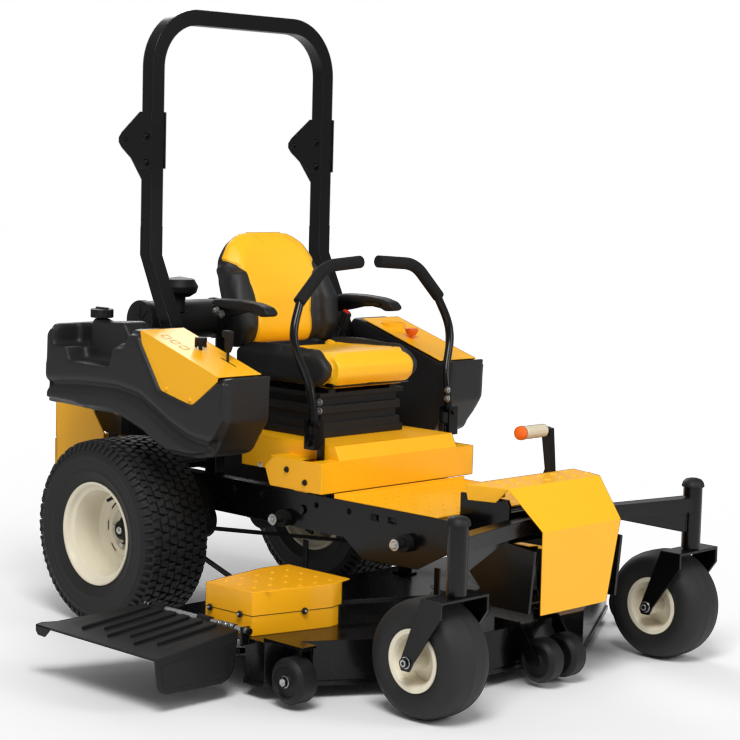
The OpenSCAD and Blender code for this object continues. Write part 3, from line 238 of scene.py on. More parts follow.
@dataclass(frozen=True)
class Paint:
    """Powder coat: a faint orange peel, slow colour drift and a little dust.

    Attributes:
        name: the material's name.
        colour: the coat itself.
        dust: the colour of what settles on it.
        roughness: how matt it is.
        coat: how strong the clear gloss is.
        peel: height of the orange peel in metres.
        shine: strength of its own mirror light.
    """

    name: str
    colour: Colour
    dust: Colour
    roughness: float = 0.32
    coat: float = 0.25
    peel: float = 0.00004
    shine: float = 0.32

    def make(self) -> bpy.types.Material:
        """Builds the material."""
        g = Graph(self.name)
        drift = g.noise(3.1, 4.0)
        grit = g.noise(160.0, 2.0).above(0.68, 0.2)
        tone = g.mix(drift * 0.16, self.colour, self.dust)
        return g.finish(Base_Color=g.mix(grit * 0.1, tone, self.dust),
                        Roughness=drift * 0.12 + grit * 0.1 + (self.roughness - 0.06),
                        Coat_Weight=self.coat, Coat_Roughness=0.12, Specular_IOR_Level=self.shine,
                        Normal=g.bump(g.noise(420.0, 1.5), self.peel))


@dataclass(frozen=True)
class Moulded:
    """Moulded plastic with a pebbled skin."""

    name: str
    colour: Colour
    light: Colour
    grain: float = 700.0
    depth: float = 0.00008
    roughness: float = 0.55

    def make(self) -> bpy.types.Material:
        """Builds the material."""
        g = Graph(self.name)
        drift = g.noise(4.3, 4.0)
        pebble = g.cells(self.grain)
        scuff = g.noise(9.0, 6.0, (1, 1, 5)).above(0.6, 0.3)
        return g.finish(Base_Color=g.mix(drift * 0.35 + scuff * 0.2, self.colour, self.light),
                        Roughness=drift * 0.14 + scuff * 0.08 + (self.roughness - 0.07),
                        Specular_IOR_Level=0.32, Normal=g.bump(pebble, self.depth, 0.7))


@dataclass(frozen=True)
class Rubber:
    """Tyre or belt rubber: matt, faintly marbled, with dry dust in it."""

    name: str
    colour: Colour
    dust: Colour
    roughness: float = 0.66
    specular: float = 0.4

    def make(self) -> bpy.types.Material:
        """Builds the material."""
        g = Graph(self.name)
        marble = g.noise(11.0, 6.0, rough=0.65)
        fine = g.noise(900.0, 2.0)
        return g.finish(Base_Color=g.mix(marble * 0.4 + fine * 0.15, self.colour, self.dust),
                        Roughness=marble * 0.16 + (self.roughness - 0.08),
                        Specular_IOR_Level=self.specular,
                        Normal=g.bump(marble * 0.5 + fine * 0.5, 0.00012))


@dataclass(frozen=True)
class Metal:
    """Bare or plated metal, brushed along one way."""

    name: str
    colour: Colour
    stain: Colour
    roughness: float = 0.32
    brush: tuple[float, float, float] = (1, 1, 1)
    depth: float = 0.00003

    def make(self) -> bpy.types.Material:
        """Builds the material."""
        g = Graph(self.name)
        tarnish = g.noise(14.0, 5.0, rough=0.65)
        lines = g.noise(340.0, 3.0, self.brush)
        return g.finish(Base_Color=g.mix((tarnish.above(0.55, 0.35)) * 0.5, self.colour, self.stain),
                        Metallic=0.9, Roughness=tarnish * 0.2 + lines * 0.12 + (self.roughness - 0.14),
                        Normal=g.bump(lines, self.depth))


@dataclass(frozen=True)
class Vinyl:
    """Seat cover in two colours: a plain panel in the middle and dark sides, with grain and sewn edges.

    Attributes:
        name: the material's name.
        panel: the middle panel's colour.
        side: the sides' colour.
        middle: y of the seat's middle plane.
        edges: heights and half widths of the panel, from low to high.
        up: whether the panel's half width changes with height.
        back: x, z and slope of the plane behind which all is dark, if any.
    """

    name: str
    panel: Colour
    side: Colour
    middle: float
    edges: tuple[tuple[float, float], ...]
    up: bool
    back: Union[tuple[float, float, float], None] = None

    def make(self) -> bpy.types.Material:
        """Builds the material."""
        g = Graph(self.name)
        x, y, z = g.axes()
        along = z if self.up else x
        width: Any = self.edges[0][1]
        for (low, before), (high, after) in zip(self.edges, self.edges[1:]):
            width = width + ((along - low) / (high - low)).kept() * (after - before)
        off = (y - self.middle).size() - width
        side = off.above(0.0, 0.0006)
        if self.back is not None:
            behind = self.back[0] - x + (z - self.back[1]) * self.back[2]
            side = 1.0 - (1.0 - side) * (1.0 - behind.above(0.0, 0.0006))
        stitch = (1.0 - ((off.size() - 0.0045).size() / 0.0011).kept()) * (
            g.add("ShaderNodeMath", {"operation": "SINE"}, {0: along * 1500.0}).above(-0.2, 0.4))
        leather = g.cells(900.0, "F1")
        fold = g.noise(26.0, 5.0)
        weave = g.cells(520.0, "F1", (1, 1, 0.6)).above(0.34, 0.2)
        panel = g.mix(fold * 0.22, self.panel, tuple(c * 0.86 for c in self.panel[:3]) + (1.0,))
        black = g.mix(weave * 0.35 + fold * 0.25, self.side, tuple(c * 2.2 for c in self.side[:3]) + (1.0,))
        skin = g.bump(leather * (1.0 - side) * 0.6 + weave * side + fold * 0.9, 0.00022, 0.8)
        return g.finish(Base_Color=g.mix(stitch * 0.5, g.mix(side, panel, black), self.side),
                        Roughness=fold * 0.16 + side * 0.12 + 0.36,
                        Normal=g.bump(stitch, 0.0004, 1.0, skin))


@dataclass(frozen=True)
class Foam:
    """Closed-cell grip foam, matt and pitted."""

    name: str
    colour: Colour
    light: Colour

    def make(self) -> bpy.types.Material:
        """Builds the material."""
        g = Graph(self.name)
        pits = g.cells(1300.0)
        wear = g.noise(18.0, 5.0)
        return g.finish(Base_Color=g.mix(wear * 0.5, self.colour, self.light), Roughness=wear * 0.1 + 0.8,
                        Specular_IOR_Level=0.25, Normal=g.bump(pits + wear, 0.00018, 0.8))


class Finish(Enum):
    """Every finish on the mower, under the name of its material slot in the record."""

    BLACK = ("black_paint", Paint("paint_black", srgb(6, 6, 7), srgb(19, 18, 18), 0.24, 0.16, 0.00003, 0.2))
    YELLOW = ("yellow_paint", Paint("paint_yellow", srgb(252, 182, 12), srgb(240, 156, 10), 0.42, 0.2))
    BUMPED = ("yellow_paint", Paint("paint_yellow_bumped", srgb(251, 178, 12), srgb(240, 154, 8), 0.38, 0.3, 0.00006))
    ENGINE = ("engine_metal", Metal("engine_casting", srgb(78, 79, 81), srgb(36, 35, 34), 0.5))
    SHROUD = ("engine_metal", Moulded("engine_shroud", srgb(14, 14, 15), srgb(30, 30, 31), 520.0, 0.00006, 0.5))
    PLASTIC = ("black_plastic", Moulded("plastic_black", srgb(11, 11, 12), srgb(29, 29, 30)))
    TANK = ("tank_plastic", Moulded("tank_skin", srgb(26, 26, 27), srgb(44, 44, 45), 850.0, 0.00012, 0.44))
    CAST = ("cast_metal", Metal("cast_iron", srgb(46, 46, 47), srgb(25, 24, 24), 0.55, depth=0.0001))
    ZINC = ("zinc", Metal("zinc_plate", srgb(202, 203, 205), srgb(150, 146, 136), 0.28))
    CREAM = ("cream_paint", Paint("paint_cream", srgb(230, 222, 200), srgb(196, 186, 162), 0.4, 0.2))
    TYRE = ("tyre_rubber", Rubber("tyre_compound", srgb(17, 17, 18), srgb(44, 43, 42)))
    BELT = ("belt_rubber", Rubber("belt_compound", srgb(18, 18, 19), srgb(36, 35, 34), 0.75))
    FOAM = ("foam", Foam("grip_foam", srgb(13, 13, 14), srgb(32, 32, 32)))
    HANDLE = ("cream_paint", Moulded("handle_cream", srgb(196, 184, 158), srgb(226, 216, 192), 600.0, 0.00004, 0.4))
    ORANGE = ("orange_plastic", Moulded("plastic_orange", srgb(236, 92, 14), srgb(250, 130, 40), 600.0, 0.00003, 0.3))
    RED = ("orange_plastic", Moulded("plastic_red", srgb(200, 30, 20), srgb(228, 60, 34), 600.0, 0.00003, 0.3))
    BLADE = ("blade_steel", Metal("blade_metal", srgb(150, 150, 152), srgb(92, 84, 74), 0.36))
    ARMREST = ("seat_vinyl", Moulded("armrest_skin", srgb(12, 12, 13), srgb(29, 29, 30), 900.0, 0.00016, 0.5))

    @property
    def slot(self) -> str:
        """The record's material slot."""
        return self.value[0]

    @property
    def material(self) -> bpy.types.Material:
        """The material, made once."""
        name = self.value[1].name
        return bpy.data.materials.get(name) or self.value[1].make()


# ---------------------------------------------------------------- the bench
def deselect() -> None:
    """Leaves edit mode and selects nothing."""
    if bpy.context.object is not None and bpy.context.object.mode != "OBJECT":
        bpy.ops.object.mode_set(mode="OBJECT")
    bpy.ops.object.select_all(action="DESELECT")


def hold(piece: bpy.types.Object) -> bpy.types.Object:
    """Makes a piece the only selected and active one."""
    deselect()
    piece.select_set(True)
    bpy.context.view_layer.objects.active = piece
    return piece


def edit(piece: bpy.types.Object, kind: str = "FACE") -> None:
    """Opens a piece in edit mode with nothing selected."""
    hold(piece)
    bpy.ops.object.mode_set(mode="EDIT")
    bpy.ops.mesh.select_mode(type=kind)
    bpy.ops.mesh.select_all(action="DESELECT")


def pick(piece: bpy.types.Object, test: Test) -> int:
    """Selects the open piece's faces by their middle and normal.

    Args:
        piece: the piece in edit mode.
        test: says whether a face at a place, with a normal, is wanted.

    Returns:
        How many faces are selected.
    """
    mesh = bmesh.from_edit_mesh(piece.data)
    world = piece.matrix_world
    for face in mesh.faces:
        face.select_set(bool(test(world @ face.calc_center_median(), face.normal)))
    mesh.select_flush_mode()
    bmesh.update_edit_mesh(piece.data)
    return sum(face.select for face in mesh.faces)


def settle(piece: bpy.types.Object, smooth: float = 35.0) -> bpy.types.Object:
    """Puts a piece's place into its mesh, turns its faces outwards and smooths it by angle."""
    edit(piece)
    bpy.ops.mesh.select_all(action="SELECT")
    bpy.ops.mesh.remove_doubles(threshold=0.00001)
    bpy.ops.mesh.normals_make_consistent(inside=False)
    bpy.ops.object.mode_set(mode="OBJECT")
    bpy.ops.object.transform_apply(location=True, rotation=True, scale=True)
    bpy.ops.object.shade_smooth_by_angle(angle=math.radians(smooth))
    return piece


def apply(piece: bpy.types.Object, kind: str, **settings: Any) -> bpy.types.Object:
    """Adds one modifier with its settings and applies it."""
    hold(piece)
    modifier = piece.modifiers.new(kind.lower(), kind)
    for key, value in settings.items():
        setattr(modifier, key, value)
    bpy.ops.object.modifier_apply(modifier=modifier.name)
    return piece


def soften(piece: bpy.types.Object, width: float, segments: int = 2, angle: float = 32.0) -> bpy.types.Object:
    """Rounds a piece's sharp edges."""
    return apply(piece, "BEVEL", width=width, segments=segments, limit_method="ANGLE",
                 angle_limit=math.radians(angle), use_clamp_overlap=True, miter_outer="MITER_ARC")


def draw(name: str, points: Sequence[Vector]) -> bpy.types.Object:
    """Draws a chain of edges: one corner, extruded from point to point."""
    deselect()
    bpy.ops.mesh.primitive_plane_add(size=0.01, location=points[0])
    piece = bpy.context.object
    piece.name = name
    bpy.ops.object.mode_set(mode="EDIT")
    bpy.ops.mesh.select_mode(type="VERT")
    bpy.ops.mesh.select_all(action="SELECT")
    bpy.ops.mesh.merge(type="CENTER")
    for here, there in zip(points, points[1:]):
        bpy.ops.mesh.extrude_vertices_move(TRANSFORM_OT_translate={"value": there - here})
    bpy.ops.mesh.select_all(action="SELECT")
    return piece


def plate(name: str, points: Sequence[Vector], depth: Vector, bevel: float = 0.0,
          segments: int = 2) -> bpy.types.Object:
    """Cuts a flat outline and gives it thickness.

    Args:
        name: the piece's name.
        points: the outline's corners.
        depth: the way and distance that it is thickened.
        bevel: radius of its edges, or 0.
        segments: steps in each rounded edge.

    Returns:
        The finished piece.
    """
    piece = draw(name, points)
    bpy.ops.mesh.edge_face_add()
    bpy.ops.mesh.select_mode(type="FACE")
    bpy.ops.mesh.extrude_region_move(TRANSFORM_OT_translate={"value": depth})
    settle(piece)
    if bevel:
        soften(piece, bevel, segments)
        bpy.ops.object.shade_smooth_by_angle(angle=math.radians(35))
        apply(piece, "WEIGHTED_NORMAL", keep_sharp=True)
    return piece


def remesh(piece: bpy.types.Object, voxel: float, rounds: int = 0) -> bpy.types.Object:
    """Melts joined blocks into one even skin and smooths it."""
    apply(piece, "REMESH", mode="VOXEL", voxel_size=voxel, use_smooth_shade=True)
    if rounds:
        apply(piece, "SMOOTH", factor=0.5, iterations=rounds)
    return piece


def swell(piece: bpy.types.Object, voxel: float, pressure: float, most: float) -> bpy.types.Object:
    """Blows a pad up as sewn cloth around foam.

    Args:
        piece: a closed shape a little smaller than the pad.
        voxel: size of its faces in metres.
        pressure: air pressure inside.
        most: how far a point may move, in metres.

    Returns:
        The pad, with its simulation applied.
    """
    remesh(piece, voxel, 2)
    start = [vertex.co.copy() for vertex in piece.data.vertices]
    modifier = piece.modifiers.new("cloth", "CLOTH")
    cloth = modifier.settings
    cloth.use_pressure, cloth.uniform_pressure_force = True, pressure
    cloth.effector_weights.gravity = 0.0
    cloth.quality, cloth.tension_stiffness, cloth.compression_stiffness = 5, 22.0, 22.0
    for frame in range(1, 21):
        bpy.context.scene.frame_set(frame)
    hold(piece)
    bpy.ops.object.modifier_apply(modifier=modifier.name)
    bpy.context.scene.frame_set(1)
    for vertex, before in zip(piece.data.vertices, start):
        move = vertex.co - before
        if move.length > most:
            vertex.co = before + move.normalized() * most
    apply(piece, "SMOOTH", factor=0.5, iterations=3)
    apply(piece, "SUBSURF", levels=1, render_levels=1)
    hold(piece)
    bpy.ops.object.shade_smooth()
    return piece


def press(piece: bpy.types.Object, depth: Callable[[Vector, Vector], float]) -> bpy.types.Object:
    """Presses a skin in along its normals.

    Args:
        piece: the piece.
        depth: how far a point with a normal goes in, in metres.

    Returns:
        The piece.
    """
    moves = [(vertex, vertex.normal * depth(vertex.co, vertex.normal)) for vertex in piece.data.vertices]
    for vertex, move in moves:
        vertex.co -= move
    return piece


def dip(distance: float, width: float) -> float:
    """A soft groove: 1 on its line, falling to 0 beside it."""
    return math.exp(-(distance / width) ** 2)


def span(value: float, table: Sequence[tuple[float, float]]) -> float:
    """Reads a table of places and values, with straight lines between them."""
    if value <= table[0][0]:
        return table[0][1]
    for (low, before), (high, after) in zip(table, table[1:]):
        if value <= high:
            return before + (after - before) * (value - low) / (high - low)
    return table[-1][1]


def off_line(x: float, z: float, line: Sequence[tuple[float, float]]) -> float:
    """Distance from a point to a chain of straight lines in one plane."""
    best = 1e9
    for (ax, az), (bx, bz) in zip(line, line[1:]):
        dx, dz = bx - ax, bz - az
        t = max(0.0, min(1.0, ((x - ax) * dx + (z - az) * dz) / (dx * dx + dz * dz)))
        best = min(best, math.hypot(x - ax - t * dx, z - az - t * dz))
    return best

def lathe(name: str, profile: Sequence[Point], centre: Vector, axis: Vector, steps: int = 48,
          smooth: float = 35.0) -> bpy.types.Object:
    """Turns a profile about an axis.

    Args:
        name: the piece's name.
        profile: pairs of radius and distance along the axis, in metres, a closed loop.
        centre: where distance is 0.
        axis: the axis.
        steps: how many sides the turned piece has.
        smooth: widest angle that is shaded smooth.

    Returns:
        The finished piece.
    """
    out = (Z_AXIS if abs(axis.z) < 0.9 else X_AXIS).cross(axis).normalized()
    piece = draw(name, [centre + out * r + axis * a for r, a in list(profile) + [profile[0]]])
    bpy.ops.mesh.spin(steps=steps, angle=math.tau, center=centre, axis=axis)
    bpy.ops.mesh.select_all(action="SELECT")
    bpy.ops.mesh.remove_doubles(threshold=0.00002)
    bpy.ops.mesh.dissolve_degenerate(threshold=0.00002)
    return settle(piece, smooth)


def pipe(name: str, points: Sequence[Vector], radius: float, bend: float = 0.0, sides: int = 16,
         steps: int = 6) -> bpy.types.Object:
    """Bends a round bar along points, with each corner rounded.

    Args:
        name: the piece's name.
        points: the corners of its middle line.
        radius: the bar's radius.
        bend: how far from each corner its bend starts.
        sides: how many sides the bar has.
        steps: steps in each bend.

    Returns:
        The finished piece.
    """
    route = [points[0]]
    for before, corner, after in zip(points, points[1:], points[2:]):
        start = corner + (before - corner).normalized() * min(bend, (before - corner).length * 0.45)
        end = corner + (after - corner).normalized() * min(bend, (after - corner).length * 0.45)
        for i in range(steps + 1 if bend else 1):
            t = i / steps
            route.append(start * (1 - t) ** 2 + corner * 2 * t * (1 - t) + end * t * t if bend else corner)
    route.append(points[-1])
    curve = bpy.data.curves.new(name, "CURVE")
    curve.dimensions, curve.bevel_depth, curve.use_fill_caps = "3D", radius, True
    curve.bevel_resolution = max(sides // 4 - 1, 1)
    spline = curve.splines.new("POLY")
    spline.points.add(len(route) - 1)
    for point, place in zip(spline.points, route):
        point.co = (*place, 1.0)
    piece = bpy.data.objects.new(name, curve)
    bpy.context.collection.objects.link(piece)
    hold(piece)
    bpy.ops.object.convert(target="MESH")
    return settle(bpy.context.object, 50)


def brick(name: str, low: Vector, high: Vector, bevel: float, segments: int = 3) -> bpy.types.Object:
    """Makes a block with rounded edges between two corners."""
    deselect()
    bpy.ops.mesh.primitive_cube_add(size=1, location=(low + high) / 2, scale=high - low)
    piece = bpy.context.object
    piece.name = name
    settle(piece)
    soften(piece, bevel, segments)
    return settle(piece)


def copy(piece: bpy.types.Object, name: str, change: Matrix) -> bpy.types.Object:
    """Copies a finished piece with its own mesh, moved by a matrix."""
    twin = bpy.data.objects.new(name, piece.data.copy())
    bpy.context.collection.objects.link(twin)
    twin.data.transform(change)
    if change.determinant() < 0:
        twin.data.flip_normals()
    return twin


def ring(piece: bpy.types.Object, count: int, centre: Vector, axis: Vector) -> bpy.types.Object:
    """Repeats a piece around an axis and joins the copies to it."""
    there, back = Matrix.Translation(centre), Matrix.Translation(-centre)
    copies = [copy(piece, f"{piece.name}_{i}", there @ Matrix.Rotation(math.tau * i / count, 4, axis) @ back)
              for i in range(1, count)]
    return join(piece, copies)


def row(piece: bpy.types.Object, shifts: Iterable[Vector]) -> bpy.types.Object:
    """Repeats a piece at other places and joins the copies to it."""
    return join(piece, [copy(piece, f"{piece.name}_{i}", Matrix.Translation(v)) for i, v in enumerate(shifts)])


def join(piece: bpy.types.Object, others: Sequence[bpy.types.Object]) -> bpy.types.Object:
    """Joins other pieces to this one."""
    hold(piece)
    for other in others:
        other.select_set(True)
    if others:
        bpy.ops.object.join()
    return piece


@dataclass(frozen=True)
class Yard:
    """The frame's bodies and the datum that every place is measured from.

    Attributes:
        datum: ground point under the middle of the rear axle.
        record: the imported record.
    """

    datum: Vector
    record: dict[str, Any]

    @classmethod
    def read(cls, frame: dict[str, Any]) -> "Yard":
        """Finds the datum from the rear wheels."""
        low_r, high_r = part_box("rear_tyre_right")
        high_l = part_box("rear_tyre_left")[1]
        return cls(Vector(((low_r.x + high_r.x) / 2, (low_r.y + high_l.y) / 2, 0)), frame["record"])

    def at(self, x: float, y: float, z: float) -> Vector:
        """Turns millimetres forward, left and up of the datum into a place."""
        return self.datum + Vector((x, y, z)) * MM

    def body(self, node: str) -> str:
        """The body that holds a CAD node."""
        return next(name for name, nodes in self.record["behaviour"]["bodies"].items() if node in nodes)

    def dress(self, piece: bpy.types.Object, finish: Finish, body: str, *nodes: str) -> bpy.types.Object:
        """Gives a finished piece its finish and body, and the CAD nodes that it stands for."""
        piece.data.materials.clear()
        piece.data.materials.append(finish.material)
        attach(piece, body)
        if nodes:
            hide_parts(*nodes)
        return piece

    def recut(self, node: str, finish: Finish, edge: float = 0.001, segments: int = 2,
              angle: float = 32.0) -> bpy.types.Object:
        """Copies a CAD node, cleans its faces and rounds its edges; the copy stands for it.

        Args:
            node: the CAD node.
            finish: what it is covered with.
            edge: radius of its edges.
            segments: steps in each rounded edge.
            angle: sharpest angle that is left alone.

        Returns:
            The copy.
        """
        source = bpy.data.objects[node]
        piece = source.copy()
        piece.data = source.data.copy()
        piece.name = f"{node}_skin"
        bpy.context.collection.objects.link(piece)
        edit(piece)
        bpy.ops.mesh.select_all(action="SELECT")
        bpy.ops.mesh.remove_doubles(threshold=0.00001)
        bpy.ops.mesh.dissolve_limited(angle_limit=math.radians(0.6))
        bpy.ops.object.mode_set(mode="OBJECT")
        if edge:
            apply(piece, "BEVEL", width=edge, segments=segments, limit_method="ANGLE",
                  angle_limit=math.radians(angle), use_clamp_overlap=False, miter_outer="MITER_ARC")
        hold(piece)
        bpy.ops.object.shade_smooth_by_angle(angle=math.radians(38))
        apply(piece, "WEIGHTED_NORMAL", keep_sharp=True, weight=80)
        return self.dress(piece, finish, self.body(node), node)

    def spot(self, node: str) -> Vector:
        """The middle of a CAD node's box."""
        low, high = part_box(node)
        return (low + high) / 2


# ---------------------------------------------------------------- sub-assemblies
@dataclass
class Fasteners:
    """Zinc hex bolts, modelled once for each size and copied."""

    yard: Yard
    sides: int = 6

    def bolt(self, name: str, place: Vector, axis: Vector, across: float, height: float,
             washer: float = 1.45) -> bpy.types.Object:
        """Models one bolt head on its washer.

        Args:
            name: the piece's name.
            place: middle of the face that it sits on.
            axis: the way that its head points.
            across: the head's radius.
            height: the head's height.
            washer: the washer's radius as a share of the head's.

        Returns:
            The finished bolt.
        """
        turn = Z_AXIS.rotation_difference(axis).to_matrix().to_4x4()
        deselect()
        bpy.ops.mesh.primitive_cylinder_add(vertices=self.sides, radius=across, depth=height,
                                            location=(0, 0, height / 2 + height * 0.25))
        head = bpy.context.object
        edit(head)
        pick(head, lambda at, normal: normal.z > 0.9)
        bpy.ops.mesh.inset(thickness=across * 0.14)
        bpy.ops.transform.translate(value=(0, 0, height * 0.12))
        bpy.ops.mesh.inset(thickness=across * 0.3)
        bpy.ops.transform.translate(value=(0, 0, -height * 0.1))
        settle(head)
        soften(head, across * 0.06, 1)
        disc = lathe(f"{name}_washer", [(across * 0.4, -0.0002), (across * washer, -0.0002),
                                        (across * washer, height * 0.18), (across * washer * 0.95, height * 0.26),
                                        (across * 0.4, height * 0.26)], Vector(), Z_AXIS, 20)
        bolt = join(head, [disc])
        bolt.name = name
        bolt.data.transform(Matrix.Translation(place) @ turn)
        return bolt

    def group(self, name: str, body: str, places: Sequence[tuple[Vector, Vector]], across: float, height: float,
              finish: Finish = Finish.ZINC, washer: float = 1.45) -> bpy.types.Object:
        """Models one bolt and copies it to each place and axis, joined as one piece."""
        first = self.bolt(name, Vector(), Z_AXIS, across, height, washer)
        copies = [copy(first, f"{name}_{i}", Matrix.Translation(at) @ Z_AXIS.rotation_difference(axis)
                       .to_matrix().to_4x4()) for i, (at, axis) in enumerate(places)]
        bpy.data.objects.remove(first)
        joined = join(copies[0], copies[1:])
        joined.name = name
        return self.yard.dress(joined, finish, body)


@dataclass
class RearWheel:
    """A rear drive wheel: turf tyre, dished and vented rim, hub, nuts and valve.

    Attributes:
        yard: the datum.
        side: -1 right, 1 left.
        middle: y of the tyre's middle plane, mm.
        height: z of the axle, mm.
        outer: tyre radius over its tread, mm.
        width: tyre width, mm.
        seat: radius where the bead sits, mm.
        pitches: tread blocks around the tyre.
    """

    yard: Yard
    side: int
    middle: float = 473.0
    height: float = 298.0
    outer: float = 298.0
    width: float = 250.0
    seat: float = 152.0
    pitches: int = 34

    @property
    def word(self) -> str:
        """The side's name."""
        return "left" if self.side > 0 else "right"

    @property
    def axis(self) -> Vector:
        """Outwards along the axle."""
        return Vector((0, self.side, 0))

    @property
    def centre(self) -> Vector:
        """The tyre's middle."""
        return self.yard.at(0, self.side * self.middle, self.height)

    def crown(self, along: float) -> float:
        """Radius of the ground between the tread blocks, in mm, this far from the tyre's middle."""
        share = abs(along) / (self.width / 2)
        return self.outer - 9.5 - 2.5 * share ** 2 - 14 * max(share - 0.72, 0) / 0.28 * share ** 2

    def carcass(self) -> bpy.types.Object:
        """Turns the tyre's body with the rings that stand out of its sidewall."""
        half = self.width / 2
        wall = [(self.seat + 1, 92), (self.seat + 2, 104), (self.seat + 9, 107), (self.seat + 15, 105),
                (self.seat + 17, 107.5), (self.seat + 21, 108), (self.seat + 30, 114), (self.seat + 44, 119.4),
                (self.seat + 46, 121.2), (self.seat + 50, 121.4), (self.seat + 52, 120.6), (self.seat + 66, half - 2),
                (self.seat + 80, half - 0.6), (self.seat + 92, half - 1), (self.seat + 94, half + 0.0),
                (self.seat + 98, half - 0.4), (self.seat + 100, half - 2.2), (self.seat + 112, half - 6),
                (self.seat + 121, half - 12), (self.seat + 127, half - 19)]
        tread = [(self.crown(a), a) for a in (98, 84, 68, 50, 30, 10)]
        outside = [(r, a) for r, a in wall + tread]
        inside = [(self.outer - 26, 60), (240, 98), (self.seat + 22, 90), (self.seat + 1, 84)]
        loop = outside + [(r, -a) for r, a in reversed(outside)] + [(r, -a) for r, a in reversed(inside)] + inside
        return lathe(f"tyre_{self.word}_carcass", [(r * MM, a * MM) for r, a in loop], self.centre, self.axis, 96, 50)

    def block(self, along: float, turn: float, length: float, wide: float, slant: float,
              top: float = 0.0) -> bpy.types.Object:
        """Models one tread block.

        Args:
            along: its middle along the axle, mm.
            turn: its place around the tyre, radians.
            length: its size around the tyre, mm.
            wide: its size along the axle, mm.
            slant: how far its outer end is turned round, mm.
            top: how far it stops short of the tread's full height, mm.

        Returns:
            The block, in the tyre's place.
        """
        ground, peak = self.crown(along) - 3.0, self.outer - top - 1.6 * (abs(along) / (self.width / 2)) ** 2
        deselect()
        bpy.ops.mesh.primitive_cube_add(size=1, location=(0, along * MM, (ground + peak) / 2 * MM),
                                        scale=(length * MM, wide * MM, (peak - ground) * MM))
        block = bpy.context.object
        bpy.ops.object.transform_apply(location=True, rotation=True, scale=True)
        for vertex in block.data.vertices:
            vertex.co.x += (vertex.co.y - along * MM) / (wide * MM) * slant * MM
        edit(block)
        pick(block, lambda at, normal: normal.z > 0.9)
        bpy.ops.transform.resize(value=(0.86, 0.9, 1))
        bpy.ops.mesh.inset(thickness=0.0011)
        bpy.ops.transform.translate(value=(0, 0, 0.0006))
        pick(block, lambda at, normal: normal.z < -0.9)
        bpy.ops.mesh.delete(type="ONLY_FACE")
        bpy.ops.object.mode_set(mode="OBJECT")
        block.data.transform(Matrix.Rotation(turn, 4, Y_AXIS))
        if self.side < 0:
            block.data.transform(Matrix.Scale(-1, 4, Y_AXIS))
            block.data.flip_normals()
        block.data.transform(Matrix.Translation(self.centre))
        return block

    def tread(self) -> bpy.types.Object:
        """Models one pitch of the turf tread and turns it round the tyre."""
        step = math.tau / self.pitches
        pitch = [self.block(0, 0.0, 24, 30, 9), self.block(0, step * 0.5, 20, 26, -10),
                 self.block(31, step * 0.25, 21, 27, -9), self.block(-31, step * 0.25, 21, 27, -9),
                 self.block(33, step * 0.75, 19, 24, 8), self.block(-33, step * 0.75, 19, 24, 8),
                 self.block(62, step * 0.02, 24, 28, 10), self.block(-62, step * 0.02, 24, 28, 10),
                 self.block(62, step * 0.52, 21, 25, -8), self.block(-62, step * 0.52, 21, 25, -8),
                 self.block(92, step * 0.27, 22, 27, -5, 2.5), self.block(-92, step * 0.27, 22, 27, -5, 2.5),
                 self.block(92, step * 0.77, 19, 24, 5, 2.5), self.block(-92, step * 0.77, 19, 24, 5, 2.5)]
        blocks = join(pitch[0], pitch[1:])
        blocks.name = f"tyre_{self.word}_tread"
        blocks = ring(blocks, self.pitches, self.centre, self.axis)
        shoulders = join(self.shoulder(1), [self.shoulder(-1)])
        return join(blocks, [ring(shoulders, self.pitches * 2, self.centre, self.axis)])

    def shoulder(self, end: int) -> bpy.types.Object:
        """Models one lug that runs over the tyre's shoulder; end is 1 outside and -1 inside."""
        half = self.width / 2
        profile = [(self.outer - 34, half - 6), (self.outer - 29, half - 1.6), (self.outer - 14, half - 10.5),
                   (self.outer - 5.5, half - 20), (self.outer - 6, half - 24), (self.outer - 20, half - 24)]
        points = [Vector((-0.005, a * MM * end, r * MM)) for r, a in profile]
        lug = plate(f"lug_{end}", points, Vector((0.0095, 0, 0)), 0.0011, 1)
        if self.side < 0:
            lug.data.transform(Matrix.Scale(-1, 4, Y_AXIS))
            lug.data.flip_normals()
        lug.data.transform(Matrix.Translation(self.centre))
        return lug

    def rim(self) -> bpy.types.Object:
        """Turns the rim: rolled edge, drop centre and a dished disc, as one skin with a wall."""
        barrel = [(self.seat + 10, 104), (self.seat + 12.5, 106.5), (self.seat + 12, 110), (self.seat + 8, 111),
                  (self.seat + 3, 108.5), (self.seat - 1, 103), (self.seat - 4, 92), (self.seat - 15, 84),
                  (self.seat - 18, 70), (self.seat - 20, 20), (self.seat - 22, 2), (self.seat - 24, -6),
                  (112, -13), (104, -19), (96, -21), (78, -16), (70, -14), (66, -20), (58, -27), (30, -28)]
        disc = [(30, -32), (60, -31.5), (69, -24), (74, -19), (96, -25.5), (107, -23), (116, -16),
                (self.seat - 20, -9), (self.seat - 17, -4), (self.seat - 16, 20), (self.seat - 14.5, 68),
                (self.seat - 12, 81), (self.seat - 0.4, 88), (self.seat + 0.6, 100)]
        back = [(self.seat + 0.4, -92), (self.seat - 12, -84), (self.seat - 16, -70), (self.seat - 16, -12)]
        front = [(self.seat - 20, -12), (self.seat - 20, -72), (self.seat - 16, -88), (self.seat - 3, -95),
                 (self.seat + 3, -108.5), (self.seat + 9, -110.8), (self.seat + 12.5, -106)]
        dish = lathe(f"rim_{self.word}_dish", [(r * MM, a * MM) for r, a in barrel + disc],
                     self.centre, self.axis, 96)
        inner = lathe("rim_back", [(r * MM, a * MM) for r, a in back + front], self.centre, self.axis, 96)
        return join(dish, [inner])

